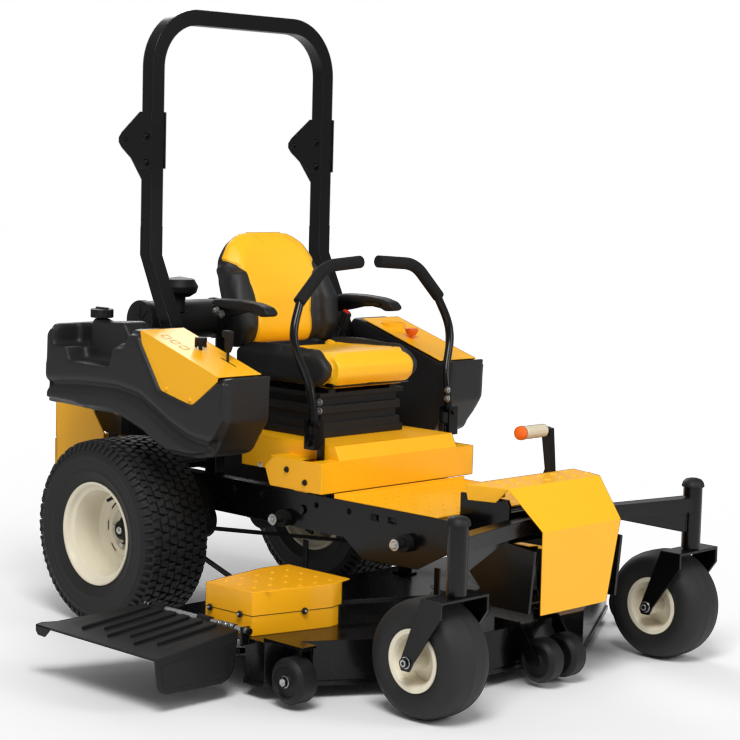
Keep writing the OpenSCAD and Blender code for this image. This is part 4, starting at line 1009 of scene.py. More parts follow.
    def vents(self) -> bpy.types.Object:
        """Models the eight pressed windows of the disc: a raised lip round each, with its middle pushed in; the dark
        sheet inside is painted shade, made separately.
        """
        outline = [(-13, 84), (13, 84), (19, 92), (17, 101), (9, 106), (-9, 106), (-17, 101), (-19, 92)]
        lip = plate(f"rim_{self.word}_window", [Vector((x, 0, z)) * MM for x, z in outline], self.axis * 0.0034)
        edit(lip)
        pick(lip, lambda at, normal: normal.y * self.side > 0.9)
        bpy.ops.mesh.inset(thickness=0.0028)
        bpy.ops.transform.translate(value=self.axis * -0.003)
        settle(lip)
        lip.data.transform(Matrix.Translation(self.centre + self.axis * -0.0215))
        return ring(lip, 8, self.centre, self.axis)

    def painted_window_shade(self) -> bpy.types.Object:
        """Models black sheets inside the eight windows: painted shade where the windows should show the dark inside
        of the wheel.
        """
        outline = [(-11, 86.6), (11, 86.6), (16, 92.6), (14.4, 100), (7.6, 103.4), (-7.6, 103.4), (-14.4, 100),
                   (-16, 92.6)]
        # a thin black sheet: painted shade seen through each window
        shade_sheet = plate(f"rim_{self.word}_painted_opening_shade", [Vector((x, 0, z)) * MM for x, z in outline], self.axis * 0.0006,
                     0.0002, 1)
        shade_sheet.data.transform(Matrix.Translation(self.centre + self.axis * -0.0208))
        return ring(shade_sheet, 8, self.centre, self.axis)

    def build(self, fasteners: Fasteners) -> None:
        """Models and dresses the whole wheel."""
        yard, body = self.yard, f"wheel_{self.word}"
        tyre = join(self.carcass(), [self.tread()])
        tyre.name = f"tyre_{self.word}_rubber"
        yard.dress(tyre, Finish.TYRE, body, f"rear_tyre_{self.word}")
        rim = join(self.rim(), [self.vents()])
        rim.name = f"rim_{self.word}_cream"
        yard.dress(rim, Finish.CREAM, body, f"rear_rim_{self.word}")
        # painted shade: black sheets in the rim's windows
        yard.dress(self.painted_window_shade(), Finish.PLASTIC, body)
        hub = lathe(f"hub_{self.word}", [(0, -0.03), (0.047, -0.03), (0.047, -0.022), (0.042, -0.018),
                                         (0.033, -0.016), (0.031, 0.004), (0.028, 0.008), (0.019, 0.009),
                                         (0.0175, 0.006), (0, 0.006)], self.centre, self.axis, 40)
        yard.dress(hub, Finish.CAST, body)
        nut = [(0, 0.004), (0.0125, 0.004), (0.0125, 0.012), (0.0105, 0.0145), (0.006, 0.015), (0.005, 0.019),
               (0, 0.019)]
        yard.dress(lathe(f"axle_nut_{self.word}", nut, self.centre, self.axis, 12), Finish.ZINC, body)
        places = [(self.centre + Matrix.Rotation(math.tau * (i + 0.5) / 5, 3, Y_AXIS)
                   @ Vector((0.05715, 0, 0)) + self.axis * -0.0275, self.axis) for i in range(5)]
        fasteners.group(f"lug_nuts_{self.word}", body, places, 0.0105, 0.013)
        stem = lathe(f"valve_{self.word}", [(0, 0), (0.0085, 0), (0.0085, 0.004), (0.006, 0.006), (0.0052, 0.024),
                                            (0.0056, 0.025), (0.0056, 0.035), (0.0046, 0.037), (0, 0.037)],
                     self.centre + Vector((-0.062, 0, 0.098)) + self.axis * -0.018,
                     (self.axis + Vector((0.2, 0, -0.25))).normalized(), 16)
        yard.dress(stem, Finish.PLASTIC, body)


@dataclass
class Caster:
    """A front caster: fork, smooth tyre and cone rim."""

    yard: Yard
    side: int
    post: tuple[float, float] = (1490.0, 530.0)
    outer: float = 165.0
    width: float = 160.0

    @property
    def word(self) -> str:
        """The side's name."""
        return "left" if self.side > 0 else "right"

    @property
    def centre(self) -> Vector:
        """The wheel's middle."""
        low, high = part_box(f"caster_tyre_{self.word}")
        return (low + high) / 2

    def tyre(self) -> bpy.types.Object:
        """Turns the smooth tyre with a parting ridge and a bead ring."""
        half = self.width / 2
        wall = [(68, 50), (70, 62), (80, 66), (84, 64.5), (88, 67), (104, half - 4), (122, half - 0.4),
                (138, half - 3), (150, half - 10), (156.5, half - 20), (161.5, half - 34), (164.2, 28),
                (164.6, 1.4), (self.outer, 0)]
        loop = wall + [(r, -a) for r, a in reversed(wall[:-1])] + [(76, -48), (120, -56), (146, -30),
                                                                   (146, 30), (120, 56), (76, 48)]
        return lathe(f"caster_tyre_{self.word}_rubber", [(r * MM, a * MM) for r, a in loop], self.centre, Y_AXIS,
                     80, 50)

    def build(self, fasteners: Fasteners) -> None:
        """Models and dresses the tyre, and rounds the fork's and rim's edges."""
        yard = self.yard
        yard.dress(self.tyre(), Finish.TYRE, f"caster_{self.word}", f"caster_tyre_{self.word}")
        yard.recut(f"caster_rim_{self.word}", Finish.CREAM, 0.001, 2)
        yard.recut(f"caster_fork_{self.word}", Finish.BLACK, 0.0016, 2)
        spots = [(Vector((self.centre.x, self.centre.y + s * (self.width / 2 + 16.5) * MM, self.centre.z)),
                  Vector((0, s, 0))) for s in (-1, 1)]
        fasteners.group(f"caster_bolts_{self.word}", f"fork_{self.word}", spots, 0.0115, 0.009)
        crown = lathe(f"post_cap_{self.word}", [(0, 0.0188), (0.012, 0.0182), (0.024, 0.0145), (0.0305, 0.007),
                                                (0.0325, 0), (0.0335, -0.002), (0.0335, -0.006), (0, -0.006)],
                      yard.at(self.post[0], self.side * self.post[1], 545), Z_AXIS, 40)
        yard.dress(crown, Finish.PLASTIC, "axle")


@dataclass
class Seat:
    """The seat: cushion and backrest swelled as sewn covers on foam, armrests, buckle and pan.

    Attributes:
        yard: the datum.
        front: the backrest's front face, pairs of height and x, mm.
        rear: the backrest's rear face, pairs of height and x, mm.
    """

    yard: Yard
    front: tuple[tuple[float, float], ...] = ((880, 246), (900, 246), (960, 244), (1050, 230), (1140, 196),
                                              (1200, 172), (1263, 140))
    rear: tuple[tuple[float, float], ...] = ((900, 172), (1040, 142), (1140, 108), (1200, 98), (1263, 104))

    def slab(self, name: str, outline: Sequence[tuple[float, float]], y0: float, y1: float,
             edge: float) -> bpy.types.Object:
        """Cuts a slab from its side outline in x and z, between two y."""
        return plate(name, [self.yard.at(x, y0, z) for x, z in outline],
                     Vector((0, (y1 - y0) * MM, 0)), edge * MM, 4)

    def cushion(self) -> bpy.types.Object:
        """Models the cushion: a yellow middle that rolls over the front, and dark side bolsters."""
        middle = [(226, 810), (648, 806), (674, 828), (675, 870), (648, 893), (505, 884), (262, 876), (226, 876)]
        side = [(226, 810), (612, 810), (646, 832), (650, 868), (612, 902), (400, 906), (226, 902)]
        pad = join(self.slab("cushion", middle, -176, 176, 14),
                   [self.slab("bolster_r", side, -222, -172, 16), self.slab("bolster_l", side, 172, 222, 16)])
        swell(pad, 0.0068, 4.0, 0.014)
        at = self.yard.at(0, 0, 0)

        def seam(place: Vector, normal: Vector) -> float:
            """Depth of the sewn lines."""
            x, y = (place.x - at.x) / MM, abs(place.y - at.y) / MM
            depth = 0.0042 * dip(y - 172, 5.5)
            if y < 172 and place.z > at.z + 0.85:
                depth += 0.0016 * dip(x - 560, 6) + 0.0014 * dip(x - 300, 6)
            return depth

        return press(pad, seam)

    def backrest(self) -> bpy.types.Object:
        """Models the backrest: a crowned yellow panel with round shoulders between dark wings."""
        yard = self.yard
        half = [(160, 886), (176, 1000), (190, 1090), (206, 1140), (202, 1176), (166, 1228), (122, 1256), (82, 1265)]
        outline = half + [(-y, z) for y, z in reversed(half)]
        panel = plate("backrest", [yard.at(0, y, z) for y, z in outline], Vector((0.1, 0, 0)), 0.03, 5)
        remesh(panel, 0.007)
        start = yard.at(0, 0, 0)
        for vertex in panel.data.vertices:
            height = (vertex.co.z - start.z) / MM
            share = (vertex.co.x - start.x) / 0.1
            back, ahead = span(height, self.rear) + 8, span(height, self.front) - 8
            hollow = 12 * max(0.0, 1 - (abs(vertex.co.y - start.y) / MM / 150) ** 2) * share
            vertex.co.x = start.x + (back + (ahead - back) * share - hollow) * MM
        wing = [(176, 888), (252, 888), (276, 955), (262, 1046), (216, 1130), (160, 1162), (118, 1150), (146, 1040)]
        pad = join(panel, [self.slab("wing_r", wing, -218, -148, 17), self.slab("wing_l", wing, 148, 218, 17)])
        swell(pad, 0.0068, 4.0, 0.013)

        def seam(place: Vector, normal: Vector) -> float:
            """Depth of the sewn edge between panel and wings."""
            y, z = abs(place.y - start.y) / MM, (place.z - start.z) / MM
            if normal.x < -0.2 or z > 1172:
                return 0.0
            return 0.0045 * dip(y - span(z, PANEL_EDGE), 5.5)

        return press(pad, seam)

    def armrest(self, side: int, fasteners: Fasteners) -> None:
        """Models one armrest: padded top, pressed arm and its bolts."""
        word = "left" if side > 0 else "right"
        body = f"arm_{word}"
        inner, outer = (250, 301) if side > 0 else (-301, -250)
        pad = self.slab(f"armrest_pad_{word}", [(210, 1028), (216, 1044), (240, 1050), (330, 1050), (412, 1046),
                                                (460, 1036), (480, 1018), (472, 1008), (440, 1006), (416, 1016),
                                                (370, 1022), (290, 1022)], inner, outer, 9)
        swell(pad, 0.0042, 3.0, 0.005)
        self.yard.dress(pad, Finish.ARMREST, body, f"armrest_{word}")
        face = 245 * side
        arm = plate(f"armrest_arm_{word}", [self.yard.at(x, face, z) for x, z in
                                            ((174, 992), (228, 990), (300, 1004), (352, 1016), (424, 1022),
                                             (424, 1030), (236, 1030), (172, 1028))],
                    Vector((0, 0.008 * side, 0)), 0.002, 2)
        self.yard.dress(arm, Finish.BLACK, body)
        spots = [(self.yard.at(x, 253 * side, z), Vector((0, side, 0))) for x, z in ((190, 1008), (214, 998))]
        fasteners.group(f"armrest_bolts_{word}", body, spots, 0.0085, 0.006)

    def buckle(self) -> None:
        """Models the belt buckle on its short stalk beside the seat."""
        yard = self.yard
        stalk = pipe("buckle_stalk", [yard.at(232, 236, 862), yard.at(250, 238, 905), yard.at(262, 240, 940)],
                     0.007, 0.02, 12)
        yard.dress(stalk, Finish.BLACK, "seat")
        head = brick("buckle", Vector((-0.017, -0.009, -0.03)), Vector((0.017, 0.009, 0.03)), 0.004)
        head.data.transform(Matrix.Translation(yard.at(270, 238, 965)) @ Matrix.Rotation(math.radians(22), 4, Y_AXIS))
        yard.dress(head, Finish.PLASTIC, "seat")
        key = brick("buckle_key", Vector((-0.012, -0.006, -0.004)), Vector((0.012, 0.006, 0.004)), 0.0015)
        key.data.transform(Matrix.Translation(yard.at(281, 238, 993)) @ Matrix.Rotation(math.radians(22), 4, Y_AXIS))
        yard.dress(key, Finish.RED, "seat")

    def pan(self) -> None:
        """Models the seat pan, its brackets and the recline pins."""
        yard = self.yard
        tray = self.slab("seat_pan", [(222, 797), (634, 797), (640, 803), (634, 810), (222, 810)], -168, 168, 2)
        yard.dress(tray, Finish.BLACK, "seat")
        for side in (-1, 1):
            word = "left" if side > 0 else "right"
            leg = plate(f"seat_bracket_{word}", [yard.at(x, 222.6 * side, z) for x, z in
                                                 ((162, 800), (214, 800), (214, 1000), (204, 1026), (176, 1026),
                                                  (162, 1000))], Vector((0, 0.007 * side, 0)), 0.0015, 2)
            yard.dress(leg, Finish.BLACK, "seat")
            pin = lathe(f"armrest_pin_{word}", [(0, 0), (0.0068, 0), (0.0068, 0.034), (0.0055, 0.036), (0, 0.036)],
                        yard.at(190, 231 * side, 1008), Vector((0, side, 0)), 24)
            yard.dress(pin, Finish.ZINC, "seat")

    def build(self, fasteners: Fasteners) -> None:
        """Models and dresses the whole seat."""
        yard = self.yard
        low = yard.at(0, 0, 0)
        cushion = self.cushion()
        back = self.backrest()
        yellow, dark = srgb(252, 188, 16), srgb(12, 12, 13)
        for piece, finish, node in (
                (cushion, Vinyl("vinyl_cushion", yellow, dark, low.y, ((0.0, 0.172), (1.0, 0.172)), False),
                 "seat_cushion"),
                (back, Vinyl("vinyl_backrest", yellow, dark, low.y,
                             tuple((z * MM, w * MM) for z, w in PANEL_EDGE), True,
                             (low.x + 0.184, 0.96, -0.22)), "seat_back")):
            piece.name = f"{node}_cover"
            piece.data.materials.clear()
            piece.data.materials.append(finish.make())
            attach(piece, "seat")
            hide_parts(node)
        self.pan()
        self.buckle()
        for side in (-1, 1):
            self.armrest(side, fasteners)


PANEL_EDGE = ((885.0, 122.0), (1000.0, 116.0), (1080.0, 128.0), (1125.0, 146.0), (1150.0, 166.0), (1166.0, 196.0),
              (1178.0, 260.0))


@dataclass
class Tank:
    """A moulded side tank with its sweeping groove, stowage recess and filler cap."""

    yard: Yard
    side: int
    groove: tuple[tuple[float, float], ...] = ((-300, 748), (-84, 764), (73, 768), (194, 752), (271, 716), (348, 678),
                                               (440, 646), (533, 638), (640, 640))

    @property
    def word(self) -> str:
        """The side's name."""
        return "left" if self.side > 0 else "right"

    def build(self) -> None:
        """Melts the CAD tank into a soft moulding and presses its groove in."""
        yard, node = self.yard, f"fuel_tank_{self.word}"
        source = bpy.data.objects[node]
        shell = source.copy()
        shell.data = source.data.copy()
        bpy.context.collection.objects.link(shell)
        shell.name = f"tank_{self.word}_moulding"
        edit(shell)
        bpy.ops.mesh.select_all(action="SELECT")
        bpy.ops.mesh.remove_doubles(threshold=0.00001)
        bpy.ops.object.mode_set(mode="OBJECT")
        pocket = plate("pocket", [yard.at(x, self.side * 500, z) for x, z in
                                  ((-196, 1000), (-150, 838), (52, 836), (104, 1000))],
                       Vector((0, self.side * 0.12, 0)), 0)
        cutter = shell.modifiers.new("pocket", "BOOLEAN")
        cutter.object, cutter.operation, cutter.solver = pocket, "DIFFERENCE", "EXACT"
        hold(shell)
        bpy.ops.object.modifier_apply(modifier=cutter.name)
        bpy.data.objects.remove(pocket)
        remesh(shell, 0.0072, 8)
        at = yard.at(0, 0, 0)

        def shape(place: Vector, normal: Vector) -> float:
            """Depth of the groove and of the shelf under it."""
            if normal.y * self.side < 0.35:
                return 0.0026
            x, z = (place.x - at.x) / MM, (place.z - at.z) / MM
            line = off_line(x, z, self.groove)
            above = z - span(x, self.groove)
            return 0.0026 + 0.016 * dip(line, 14) + (0.004 if above < 0 else 0.004 * dip(above, 14))

        press(shell, shape)
        apply(shell, "SMOOTH", factor=0.5, iterations=2)
        hold(shell)
        bpy.ops.object.shade_smooth()
        yard.dress(shell, Finish.TANK, "chassis", node)
        cap = yard.recut(f"fuel_cap_{self.word}", Finish.PLASTIC, 0.0016)
        low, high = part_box(f"fuel_cap_{self.word}")
        middle, radius = (low + high) / 2, (high.x - low.x) / 2
        rib = brick("cap_rib", Vector((radius - 0.0016, -0.0022, -0.3 * (high.z - low.z))) + middle,
                    Vector((radius - 0.0001, 0.0022, 0.3 * (high.z - low.z))) + middle, 0.0006, 1)
        rib.name = f"fuel_cap_{self.word}_ribs"
        yard.dress(ring(rib, 20, middle, Z_AXIS), Finish.PLASTIC, yard.body(f"fuel_cap_{self.word}"))
        LOG.info("cap %s: %d faces", self.word, len(cap.data.polygons))


@dataclass
class Chute:
    """The hinged discharge chute: flared ribbed top, turned-down tip and rounded front skirt."""

    yard: Yard
    hinge_y: float = -779.0
    hinge_z: float = 189.0
    out_y: float = -1094.0
    out_z: float = 156.0
    rear: float = 395.0
    front: float = 928.0

    def top(self, y: float) -> float:
        """Height of the top at this y."""
        start = self.hinge_y - 20
        return self.hinge_z + 5 + (self.out_z - self.hinge_z - 5) * (start - y) / (start - self.out_y)

    def build(self) -> None:
        """Models and dresses the chute."""
        yard = self.yard
        edge = [(515, self.hinge_y - 20), (self.rear + 30, self.out_y + 50), (self.rear, self.out_y + 22),
                (self.rear, self.out_y), (self.front, self.out_y), (self.front, self.hinge_y - 20)]
        sheet = plate("chute_top", [yard.at(x, y, self.top(y)) for x, y in edge], Vector((0, 0, -0.0055)), 0.0015, 2)
        ribs = []
        for i in range(6):
            x = 534 + i * 58
            a, b = self.hinge_y - 34, self.out_y + 46 + (i % 2) * 34
            rib = plate(f"chute_rib_{i}", [yard.at(x - 2, a, self.top(a) - 1), yard.at(x + 30, a, self.top(a) - 1),
                                           yard.at(x + 17, b, self.top(b) - 1), yard.at(x + 12, b, self.top(b) - 1)],
                        Vector((0, 0, 0.0105)), 0.004, 3)
            ribs.append(rib)
        skirt = plate("chute_skirt", [yard.at(self.front - 7, y, z) for y, z in (
            (self.hinge_y - 19, self.hinge_z + 3), (self.out_y + 1, self.out_z), (self.out_y + 6, 120),
            (self.out_y + 12, 78), (self.out_y + 22, 62), (self.out_y + 40, 55), (self.hinge_y - 80, 51),
            (self.hinge_y - 52, 60), (self.hinge_y - 36, 82))], Vector((0.0075, 0, 0)), 0.002, 2)
        lip = plate("chute_lip", [yard.at(self.front + 0.2, y, z) for y, z in (
            (self.hinge_y - 40, self.hinge_z - 22), (self.out_y + 22, self.out_z - 22), (self.out_y + 30, 84),
            (self.out_y + 48, 70), (self.hinge_y - 84, 66), (self.hinge_y - 60, 78))],
            Vector((0.0018, 0, 0)), 0.0008, 1)
        tip = plate("chute_tip", [yard.at(x, self.out_y, z) for x, z in (
            (self.rear, self.out_z), (self.rear, self.out_z - 18), (self.rear + 10, self.out_z - 29),
            (self.rear + 40, self.out_z - 30), (self.rear + 66, self.out_z - 4), (self.rear + 66, self.out_z - 1))],
            Vector((0, 0.005, 0)), 0.0012, 2)
        sleeves = [lathe(f"chute_sleeve_{x}", [(0.0085, 0), (0.0135, 0), (0.0135, 0.05), (0.0085, 0.05)],
                         yard.at(x, self.hinge_y, self.hinge_z), X_AXIS, 28) for x in (540, 740)]
        straps = [brick(f"chute_strap_{x}", yard.at(x, self.hinge_y - 24, self.hinge_z - 2),
                        yard.at(x + 50, self.hinge_y - 10, self.hinge_z + 4), 0.0012) for x in (540, 740)]
        chute = join(sheet, ribs + [skirt, lip, tip] + sleeves + straps)
        chute.name = "chute_moulding"
        yard.dress(chute, Finish.PLASTIC, "chute", "discharge_chute")


@dataclass
class LapBar:
    """A lap bar's foam grip and its bracket bolts."""

    yard: Yard
    side: int
    grip: tuple[tuple[float, float, float], ...] = ((613, 40, 1181), (622, 199, 1171), (626, 310, 1064))

    def build(self, fasteners: Fasteners) -> None:
        """Models and dresses the grip and bolts."""
        yard, word = self.yard, "left" if self.side > 0 else "right"
        grip = pipe(f"grip_{word}", [yard.at(x, self.side * y, z) for x, y, z in self.grip], 0.0188, 0.045, 32, 10)
        soften(grip, 0.0075, 4, 60)
        hold(grip)
        bpy.ops.object.shade_smooth_by_angle(angle=math.radians(60))
        yard.dress(grip, Finish.FOAM, f"bar_{word}", f"lap_grip_{word}")
        route = ((625, 302, 1070), (640, 344, 985), (651, 345, 925), (671, 304, 828), (684, 300, 770),
                 (694, 300, 706))
        tube = pipe(f"tube_{word}", [yard.at(x, self.side * y, z) for x, y, z in route], 0.0128, 0.1, 28, 12)
        yard.dress(tube, Finish.BLACK, f"bar_{word}", f"lap_bar_{word}")
        spots = [(yard.at(699, self.side * 286, z), Vector((0, -self.side, 0))) for z in (769, 742)]
        fasteners.group(f"bar_bolts_{word}", f"bar_{word}", spots, 0.0078, 0.006)
        spots = [(yard.at(718, self.side * 287, 645) + Vector((-0.024, 0, 0)), Vector((0, -self.side, 0)))]
        fasteners.group(f"bar_pin_{word}", f"pivot_{word}", spots, 0.009, 0.007)


@dataclass
class DeckTrim:
    """Hinge rod, spring, cover knobs and bolts on the deck."""

    yard: Yard
    hinge_y: float = -779.0
    hinge_z: float = 189.0

    def spring(self) -> bpy.types.Object:
        """Winds the chute's return spring."""
        turns, length, radius = 9, 66.0, 10.2
        points = [self.yard.at(828 + length * i / (turns * 16), self.hinge_y, self.hinge_z)
                  + Vector((0, math.cos(i / 16 * math.tau), math.sin(i / 16 * math.tau))) * radius * MM
                  for i in range(turns * 16 + 1)]
        return pipe("chute_spring", points, 0.0017, 0, 8)

    def covers(self) -> None:
        """Models the seam round each spindle cover and the dimples in its top."""
        yard = self.yard
        outline = ((735.6, -754.9), (924.6, -745.9), (982.9, -494.8), (960.4, -399.2), (699.6, -399.2),
                   (689.1, -499.2))
        dimples = []
        for side in (1, -1):
            seam = plate(f"cover_seam_{side}", [yard.at(x, side * y, 221) for x, y in outline],
                         Vector((0, 0, 0.0018)), 0)
            yard.dress(seam, Finish.PLASTIC, "deck")
            first = lathe(f"cover_dimple_{side}", [(0.0026, -0.0006), (0.0068, -0.0006), (0.0062, 0.001),
                                                   (0.0038, 0.0017), (0.0026, 0.0012)],
                          yard.at(760, side * -700, 290), Z_AXIS, 20)
            shifts = [Vector((x * MM, side * y * MM, 0)) for x in range(0, 181, 60) for y in range(0, 241, 60)
                      if x or y]
            dimples.append(row(first, shifts))
        for piece in dimples:
            yard.dress(piece, Finish.YELLOW, "deck")

    def knob(self, name: str, place: Vector, axis: Vector) -> None:
        """Models one round cover knob with a zinc middle."""
        grip = lathe(name, [(0, 0.001), (0.0085, 0.001), (0.0098, 0.003), (0.0098, 0.006), (0.008, 0.009),
                            (0.005, 0.0095), (0, 0.0095)], place, axis, 24)
        self.yard.dress(grip, Finish.PLASTIC, "deck")
        stud = lathe(f"{name}_stud", [(0, 0.0085), (0.0038, 0.0085), (0.0038, 0.0125), (0.003, 0.0135), (0, 0.0135)],
                     place, axis, 12)
        self.yard.dress(stud, Finish.ZINC, "deck")

    def build(self, fasteners: Fasteners) -> None:
        """Models and dresses the trim."""
        yard = self.yard
        yard.recut("deck_hardware", Finish.BLACK, 0.0006)
        self.covers()
        yard.dress(self.spring(), Finish.ZINC, "deck")
        rod, *others = [pipe(f"hinge_rod_{start}", [yard.at(start, self.hinge_y, self.hinge_z),
                                                    yard.at(end, self.hinge_y, self.hinge_z)], 0.0086, 0, 20)
                        for start, end in ((500, 538), (592, 738), (792, 824), (896, 950))]
        rod = join(rod, others)
        rod.name = "hinge_rod_ends"
        yard.dress(rod, Finish.ZINC, "deck")
        for i, (x, y, z) in enumerate(((760, -754, 222), (880, -748, 222), (962, -582, 222))):
            away = Vector((0, -1, 0)) if i < 2 else Vector((0.97, -0.22, 0)).normalized()
            self.knob(f"cover_knob_{i}", yard.at(x, y, z), away)
        spots = [(yard.at(1106, side * 787, 80), Vector((0, side, 0))) for side in (-1, 1)]
        fasteners.group("scalp_bolts", "deck", spots, 0.0115, 0.008)
        spots = [(yard.at(x, side * 238, 193), Vector((0, side, 0))) for x in (600, 1150) for side in (-1, 1)]
        fasteners.group("hanger_bolts", "deck", spots, 0.0085, 0.007)


@dataclass
class Controls:
    """Lift lever handle, painted shade lines in the console's pressed outlines, knob flutes, and the cowl's and
    rails' bolts.
    """

    yard: Yard

    def lift_handle(self) -> None:
        """Models the lift lever's ribbed handle with its bright end cap."""
        yard = self.yard
        grip = lathe("lift_grip", [(0, -0.052), (0.0175, -0.052), (0.0192, -0.049), (0.0186, -0.03), (0.0193, -0.015),
                                   (0.0186, 0.0), (0.0193, 0.015), (0.0188, 0.03), (0.0186, 0.0485), (0, 0.0492)],
                     yard.at(1205, 110, 706), Y_AXIS, 28)
        yard.dress(grip, Finish.HANDLE, "lever")
        cap = lathe("lift_cap", [(0, -0.0695), (0.0125, -0.0688), (0.0192, -0.064), (0.0204, -0.057),
                                 (0.0204, -0.0515), (0, -0.0515)], yard.at(1205, 110, 706), Y_AXIS, 28)
        yard.dress(cap, Finish.ORANGE, "lever")

    def throttle(self) -> None:
        """Models the throttle: a thin stem under a hooked handle."""
        low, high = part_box("throttle_lever")
        middle, top = (low + high) / 2, high.z
        grip = plate("throttle_handle", [Vector((middle.x + x * MM, middle.y - 0.0085, top + z * MM)) for x, z in (
            (-21, -3), (-17, 0), (14, 0), (18, -4), (17, -20), (12, -52), (5, -66), (-3, -66), (-8, -52), (-8, -22),
            (-20, -20))], Vector((0, 0.017, 0)), 0.0035, 3)
        stem = lathe("throttle_stem", [(0, 0), (0.0042, 0), (0.0042, 0.05), (0, 0.05)],
                     Vector((middle.x, middle.y, top - 0.112)), Z_AXIS, 16)
        self.yard.dress(join(grip, [stem]), Finish.PLASTIC, self.yard.body("throttle_lever"), "throttle_lever")

    def top(self, x: float) -> float:
        """Height of the console's top at this x."""
        return 957 - 0.31 * (x - 200) + 3

    def rings(self) -> None:
        """Draws the painted shade of the three rounded outlines pressed in the right console's top, as thin black
        loops laid on it.
        """
        groove_shade_loops = []
        for i in range(3):
            x, y, half = 262 + i * 42, -518, 13
            corners = [(x - half, y - half), (x + half, y - half), (x + half, y + half), (x - half, y + half)]
            points = [self.yard.at(a, b, self.top(a) + 0.3) for a, b in corners]
            mid = (points[0] + points[1]) / 2
            groove_shade_loops.append(pipe(f"console_ring_{i}", [mid, points[1], points[2], points[3], points[0], mid], 0.0006,
                              0.006, 6, 4))
        # black loops: painted shade of the pressed grooves
        self.yard.dress(join(groove_shade_loops[0], groove_shade_loops[1:]), Finish.PLASTIC, "chassis")

    def flutes(self) -> None:
        """Models the choke knob's flutes."""
        low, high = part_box("choke_knob")
        middle, radius = (low + high) / 2, (high.x - low.x) / 2
        flute = brick("choke_flutes", middle + Vector((radius - 0.002, -0.0016, (high.z - low.z) * 0.16)),
                      middle + Vector((radius + 0.0006, 0.0016, (high.z - low.z) * 0.46)), 0.0005, 1)
        self.yard.dress(ring(flute, 12, middle, Z_AXIS), Finish.PLASTIC, "choke")

    def bolts(self, fasteners: Fasteners) -> None:
        """Models the bolts of cowl and rails."""
        yard = self.yard
        low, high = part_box("cowl")
        fasteners.group("cowl_bolts", "chassis", [
            (Vector((yard.at(x, 0, 0).x, low.y - 0.0002 if side < 0 else high.y + 0.0002, z * MM)),
             Vector((0, side, 0))) for side in (-1, 1) for x, z in ((500, 560),)], 0.006, 0.0035)
        hardware_low, hardware_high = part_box("frame_hardware")
        fasteners.group("bushing_bolts", "chassis", [
            (Vector((yard.at(x, 0, 0).x, hardware_low.y - 0.0004 if side < 0 else hardware_high.y + 0.0004, 0.4)),
             Vector((0, side, 0))) for side in (-1, 1) for x in (569, 1082)], 0.012, 0.008)

    def build(self, fasteners: Fasteners) -> None:
        """Models and dresses the controls' details."""
        self.lift_handle()
        self.throttle()
        self.rings()
        self.flutes()
        self.bolts(fasteners)


@dataclass
class Studio:
    """The floor, the lights and the camera."""

    yard: Yard
    spot: tuple[float, float, float] = (4934.0, -4400.0, 1479.0)
    ahead: tuple[float, float, float] = (-0.6957, 0.7110, -0.1026)
    right: tuple[float, float, float] = (0.7128, 0.7010, 0.0257)
    above: tuple[float, float, float] = (-0.0903, 0.0553, 0.9945)
    lens: float = 96.45
    ambient: float = 0.34

    def camera(self) -> None:
        """Places the camera."""
        data = bpy.data.cameras.new("camera")
        data.lens, data.sensor_width = self.lens, 36.0
        data.clip_end = 200.0
        camera = bpy.data.objects.new("camera", data)
        bpy.context.collection.objects.link(camera)
        back = -Vector(self.ahead)
        turn = Matrix((self.right, self.above, back)).transposed()
        camera.matrix_world = Matrix.Translation(self.yard.at(*self.spot)) @ turn.to_4x4()
        bpy.context.scene.camera = camera

    def light(self, name: str, place: Point, aim: Point, size: float, power: float) -> None:
        """Adds one soft square light that faces a point."""
        data = bpy.data.lights.new(name, "AREA")
        data.shape, data.size, data.energy = "SQUARE", size, power
        lamp = bpy.data.objects.new(name, data)
        bpy.context.collection.objects.link(lamp)
        lamp.matrix_world = Matrix.Translation(place) @ (
            Vector(aim) - Vector(place)).to_track_quat("-Z", "Y").to_matrix().to_4x4()

    def floor(self) -> None:
        """Lays the pale floor, which catches shadows."""
        deselect()
        bpy.ops.mesh.primitive_plane_add(size=60, location=(0, 0, 0))
        floor = bpy.context.object
        floor.name = "studio_floor"
        g = Graph("studio_floor")
        tone = g.noise(0.7, 2.0)
        floor.data.materials.append(g.finish(
            Base_Color=g.mix(tone * 0.2, (0.93, 0.93, 0.93, 1), (0.9, 0.9, 0.9, 1)), Roughness=0.9,
            Specular_IOR_Level=0.1))
        floor.is_shadow_catcher = True

    def build(self) -> None:
        """Builds the whole studio."""
        self.camera()
        self.floor()
        world = bpy.data.worlds.new("studio")
        bpy.context.scene.world = world
        world.use_nodes = True
        nodes, links = world.node_tree.nodes, world.node_tree.links
        path, strength = nodes.new("ShaderNodeLightPath"), nodes.new("ShaderNodeMapRange")
        strength.inputs["To Min"].default_value, strength.inputs["To Max"].default_value = self.ambient, 1.0
        links.new(path.outputs["Is Camera Ray"], strength.inputs["Value"])
        nodes["Background"].inputs["Color"].default_value = (1, 1, 1, 1)
        links.new(strength.outputs[0], nodes["Background"].inputs["Strength"])
        self.light("key", (2.6, -2.6, 4.8), (0.2, 0, 0.5), 2.2, 235)
        self.light("fill", (4.4, 1.6, 2.6), (0.3, 0, 0.6), 1.6, 60)
        self.light("rim", (-4.2, 2.6, 3.6), (0, 0, 0.8), 2.6, 120)
        bpy.context.scene.view_settings.view_transform = "Standard"


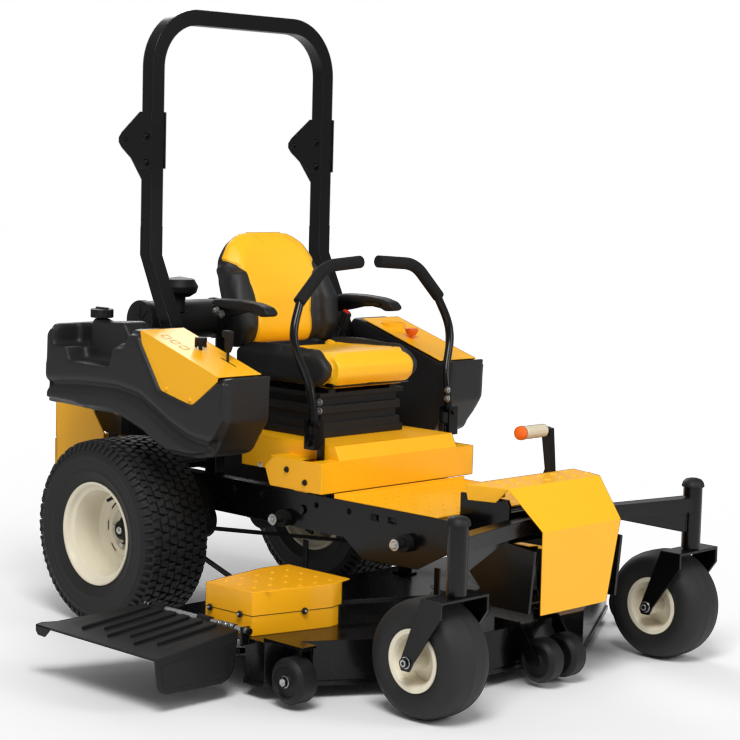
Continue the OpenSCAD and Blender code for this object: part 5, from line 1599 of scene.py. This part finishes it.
@dataclass
class Plain:
    """CAD nodes whose shape is right: each gets its edges rounded and a better finish.

    Attributes:
        yard: the datum.
        belt_edge: radius of the belt's edges, m.
        belt_still: an x in mm meant for where the belt stays with the engine; its place is computed but not used.
        belt_lifted: an x in mm meant for where the belt moves with the deck; its place is computed but not used.
        jobs: each node with its finish and the radius of its edges, m.
    """

    yard: Yard
    belt_edge: float = 0.0008
    belt_still: float = -150.0
    belt_lifted: float = 430.0
    jobs: tuple[tuple[str, Finish, float], ...] = (
        ("main_frame", Finish.BLACK, 0.0012), ("rops_base", Finish.BLACK, 0.0014),
        ("rops_hoop", Finish.BLACK, 0.0014), ("rear_guard", Finish.YELLOW, 0.0014),
        ("engine_block", Finish.ENGINE, 0.0008),
        ("engine_shroud", Finish.SHROUD, 0.0012), ("air_cleaner", Finish.PLASTIC, 0.002),
        ("muffler", Finish.CAST, 0.002), ("battery", Finish.PLASTIC, 0.002), ("hydro_drives", Finish.CAST, 0.0015),
        ("engine_clutch", Finish.CAST, 0.001), ("console_right", Finish.YELLOW, 0.0012),
        ("console_left", Finish.YELLOW, 0.0012), ("choke_knob", Finish.PLASTIC, 0.001),
        ("pto_knob", Finish.ORANGE, 0.0015), ("cowl", Finish.YELLOW, 0.0016),
        ("foot_plate", Finish.YELLOW, 0.001), ("front_cover", Finish.YELLOW, 0.0016),
        ("frame_hardware", Finish.PLASTIC, 0.0006), ("seat_suspension", Finish.PLASTIC, 0.002),
        ("front_axle", Finish.BLACK, 0.0016), ("deck_shell", Finish.BLACK, 0.0012),
        ("spindle_covers", Finish.BUMPED, 0.0014), ("spindle_housings", Finish.CAST, 0.001),
        ("blade_right", Finish.BLADE, 0.0006),
        ("blade_centre", Finish.BLADE, 0.0006), ("blade_left", Finish.BLADE, 0.0006),
        ("scalp_wheel_right", Finish.PLASTIC, 0.003), ("scalp_wheel_left", Finish.PLASTIC, 0.003),
        ("scalp_wheels_front", Finish.PLASTIC, 0.003), ("lap_pivot_right", Finish.BLACK, 0.001),
        ("lap_pivot_left", Finish.BLACK, 0.001), ("lift_pedal", Finish.BLACK, 0.0008),
        ("lift_shaft", Finish.BLACK, 0.001))

    def belt(self) -> None:
        """Rounds the belt's edges and leaves it in place, on no body."""
        piece = self.yard.recut("deck_belt", Finish.BELT, self.belt_edge)
        piece.parent = None
        piece.matrix_world = Matrix.Identity(4)
        del piece["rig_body"]
        self.yard.at(self.belt_still, 0, 0)
        self.yard.at(self.belt_lifted, 0, 0)
        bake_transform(piece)

    def build(self) -> None:
        """Dresses every node in the list."""
        for node, finish, edge in self.jobs:
            piece = self.yard.recut(node, finish, edge)
            LOG.info("%s: %d faces", node, len(piece.data.polygons))
        self.belt()


def main() -> None:
    """Builds every sub-assembly in order and reports each."""
    logging.basicConfig(level=logging.INFO, format="%(message)s")
    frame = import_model()
    yard = Yard.read(frame)
    fasteners = Fasteners(yard)
    Studio(yard).build()
    for piece in (RearWheel(yard, -1), RearWheel(yard, 1), Caster(yard, -1), Caster(yard, 1), Seat(yard),
                  LapBar(yard, -1), LapBar(yard, 1), DeckTrim(yard), Controls(yard)):
        piece.build(fasteners)
        LOG.info("%s built", type(piece).__name__)
    for part in (Tank(yard, -1), Tank(yard, 1), Chute(yard)):
        part.build()
        LOG.info("%s built", type(part).__name__)
    Plain(yard).build()
    LOG.info("plain nodes dressed")
    deselect()


if __name__ == "__main__":
    main()
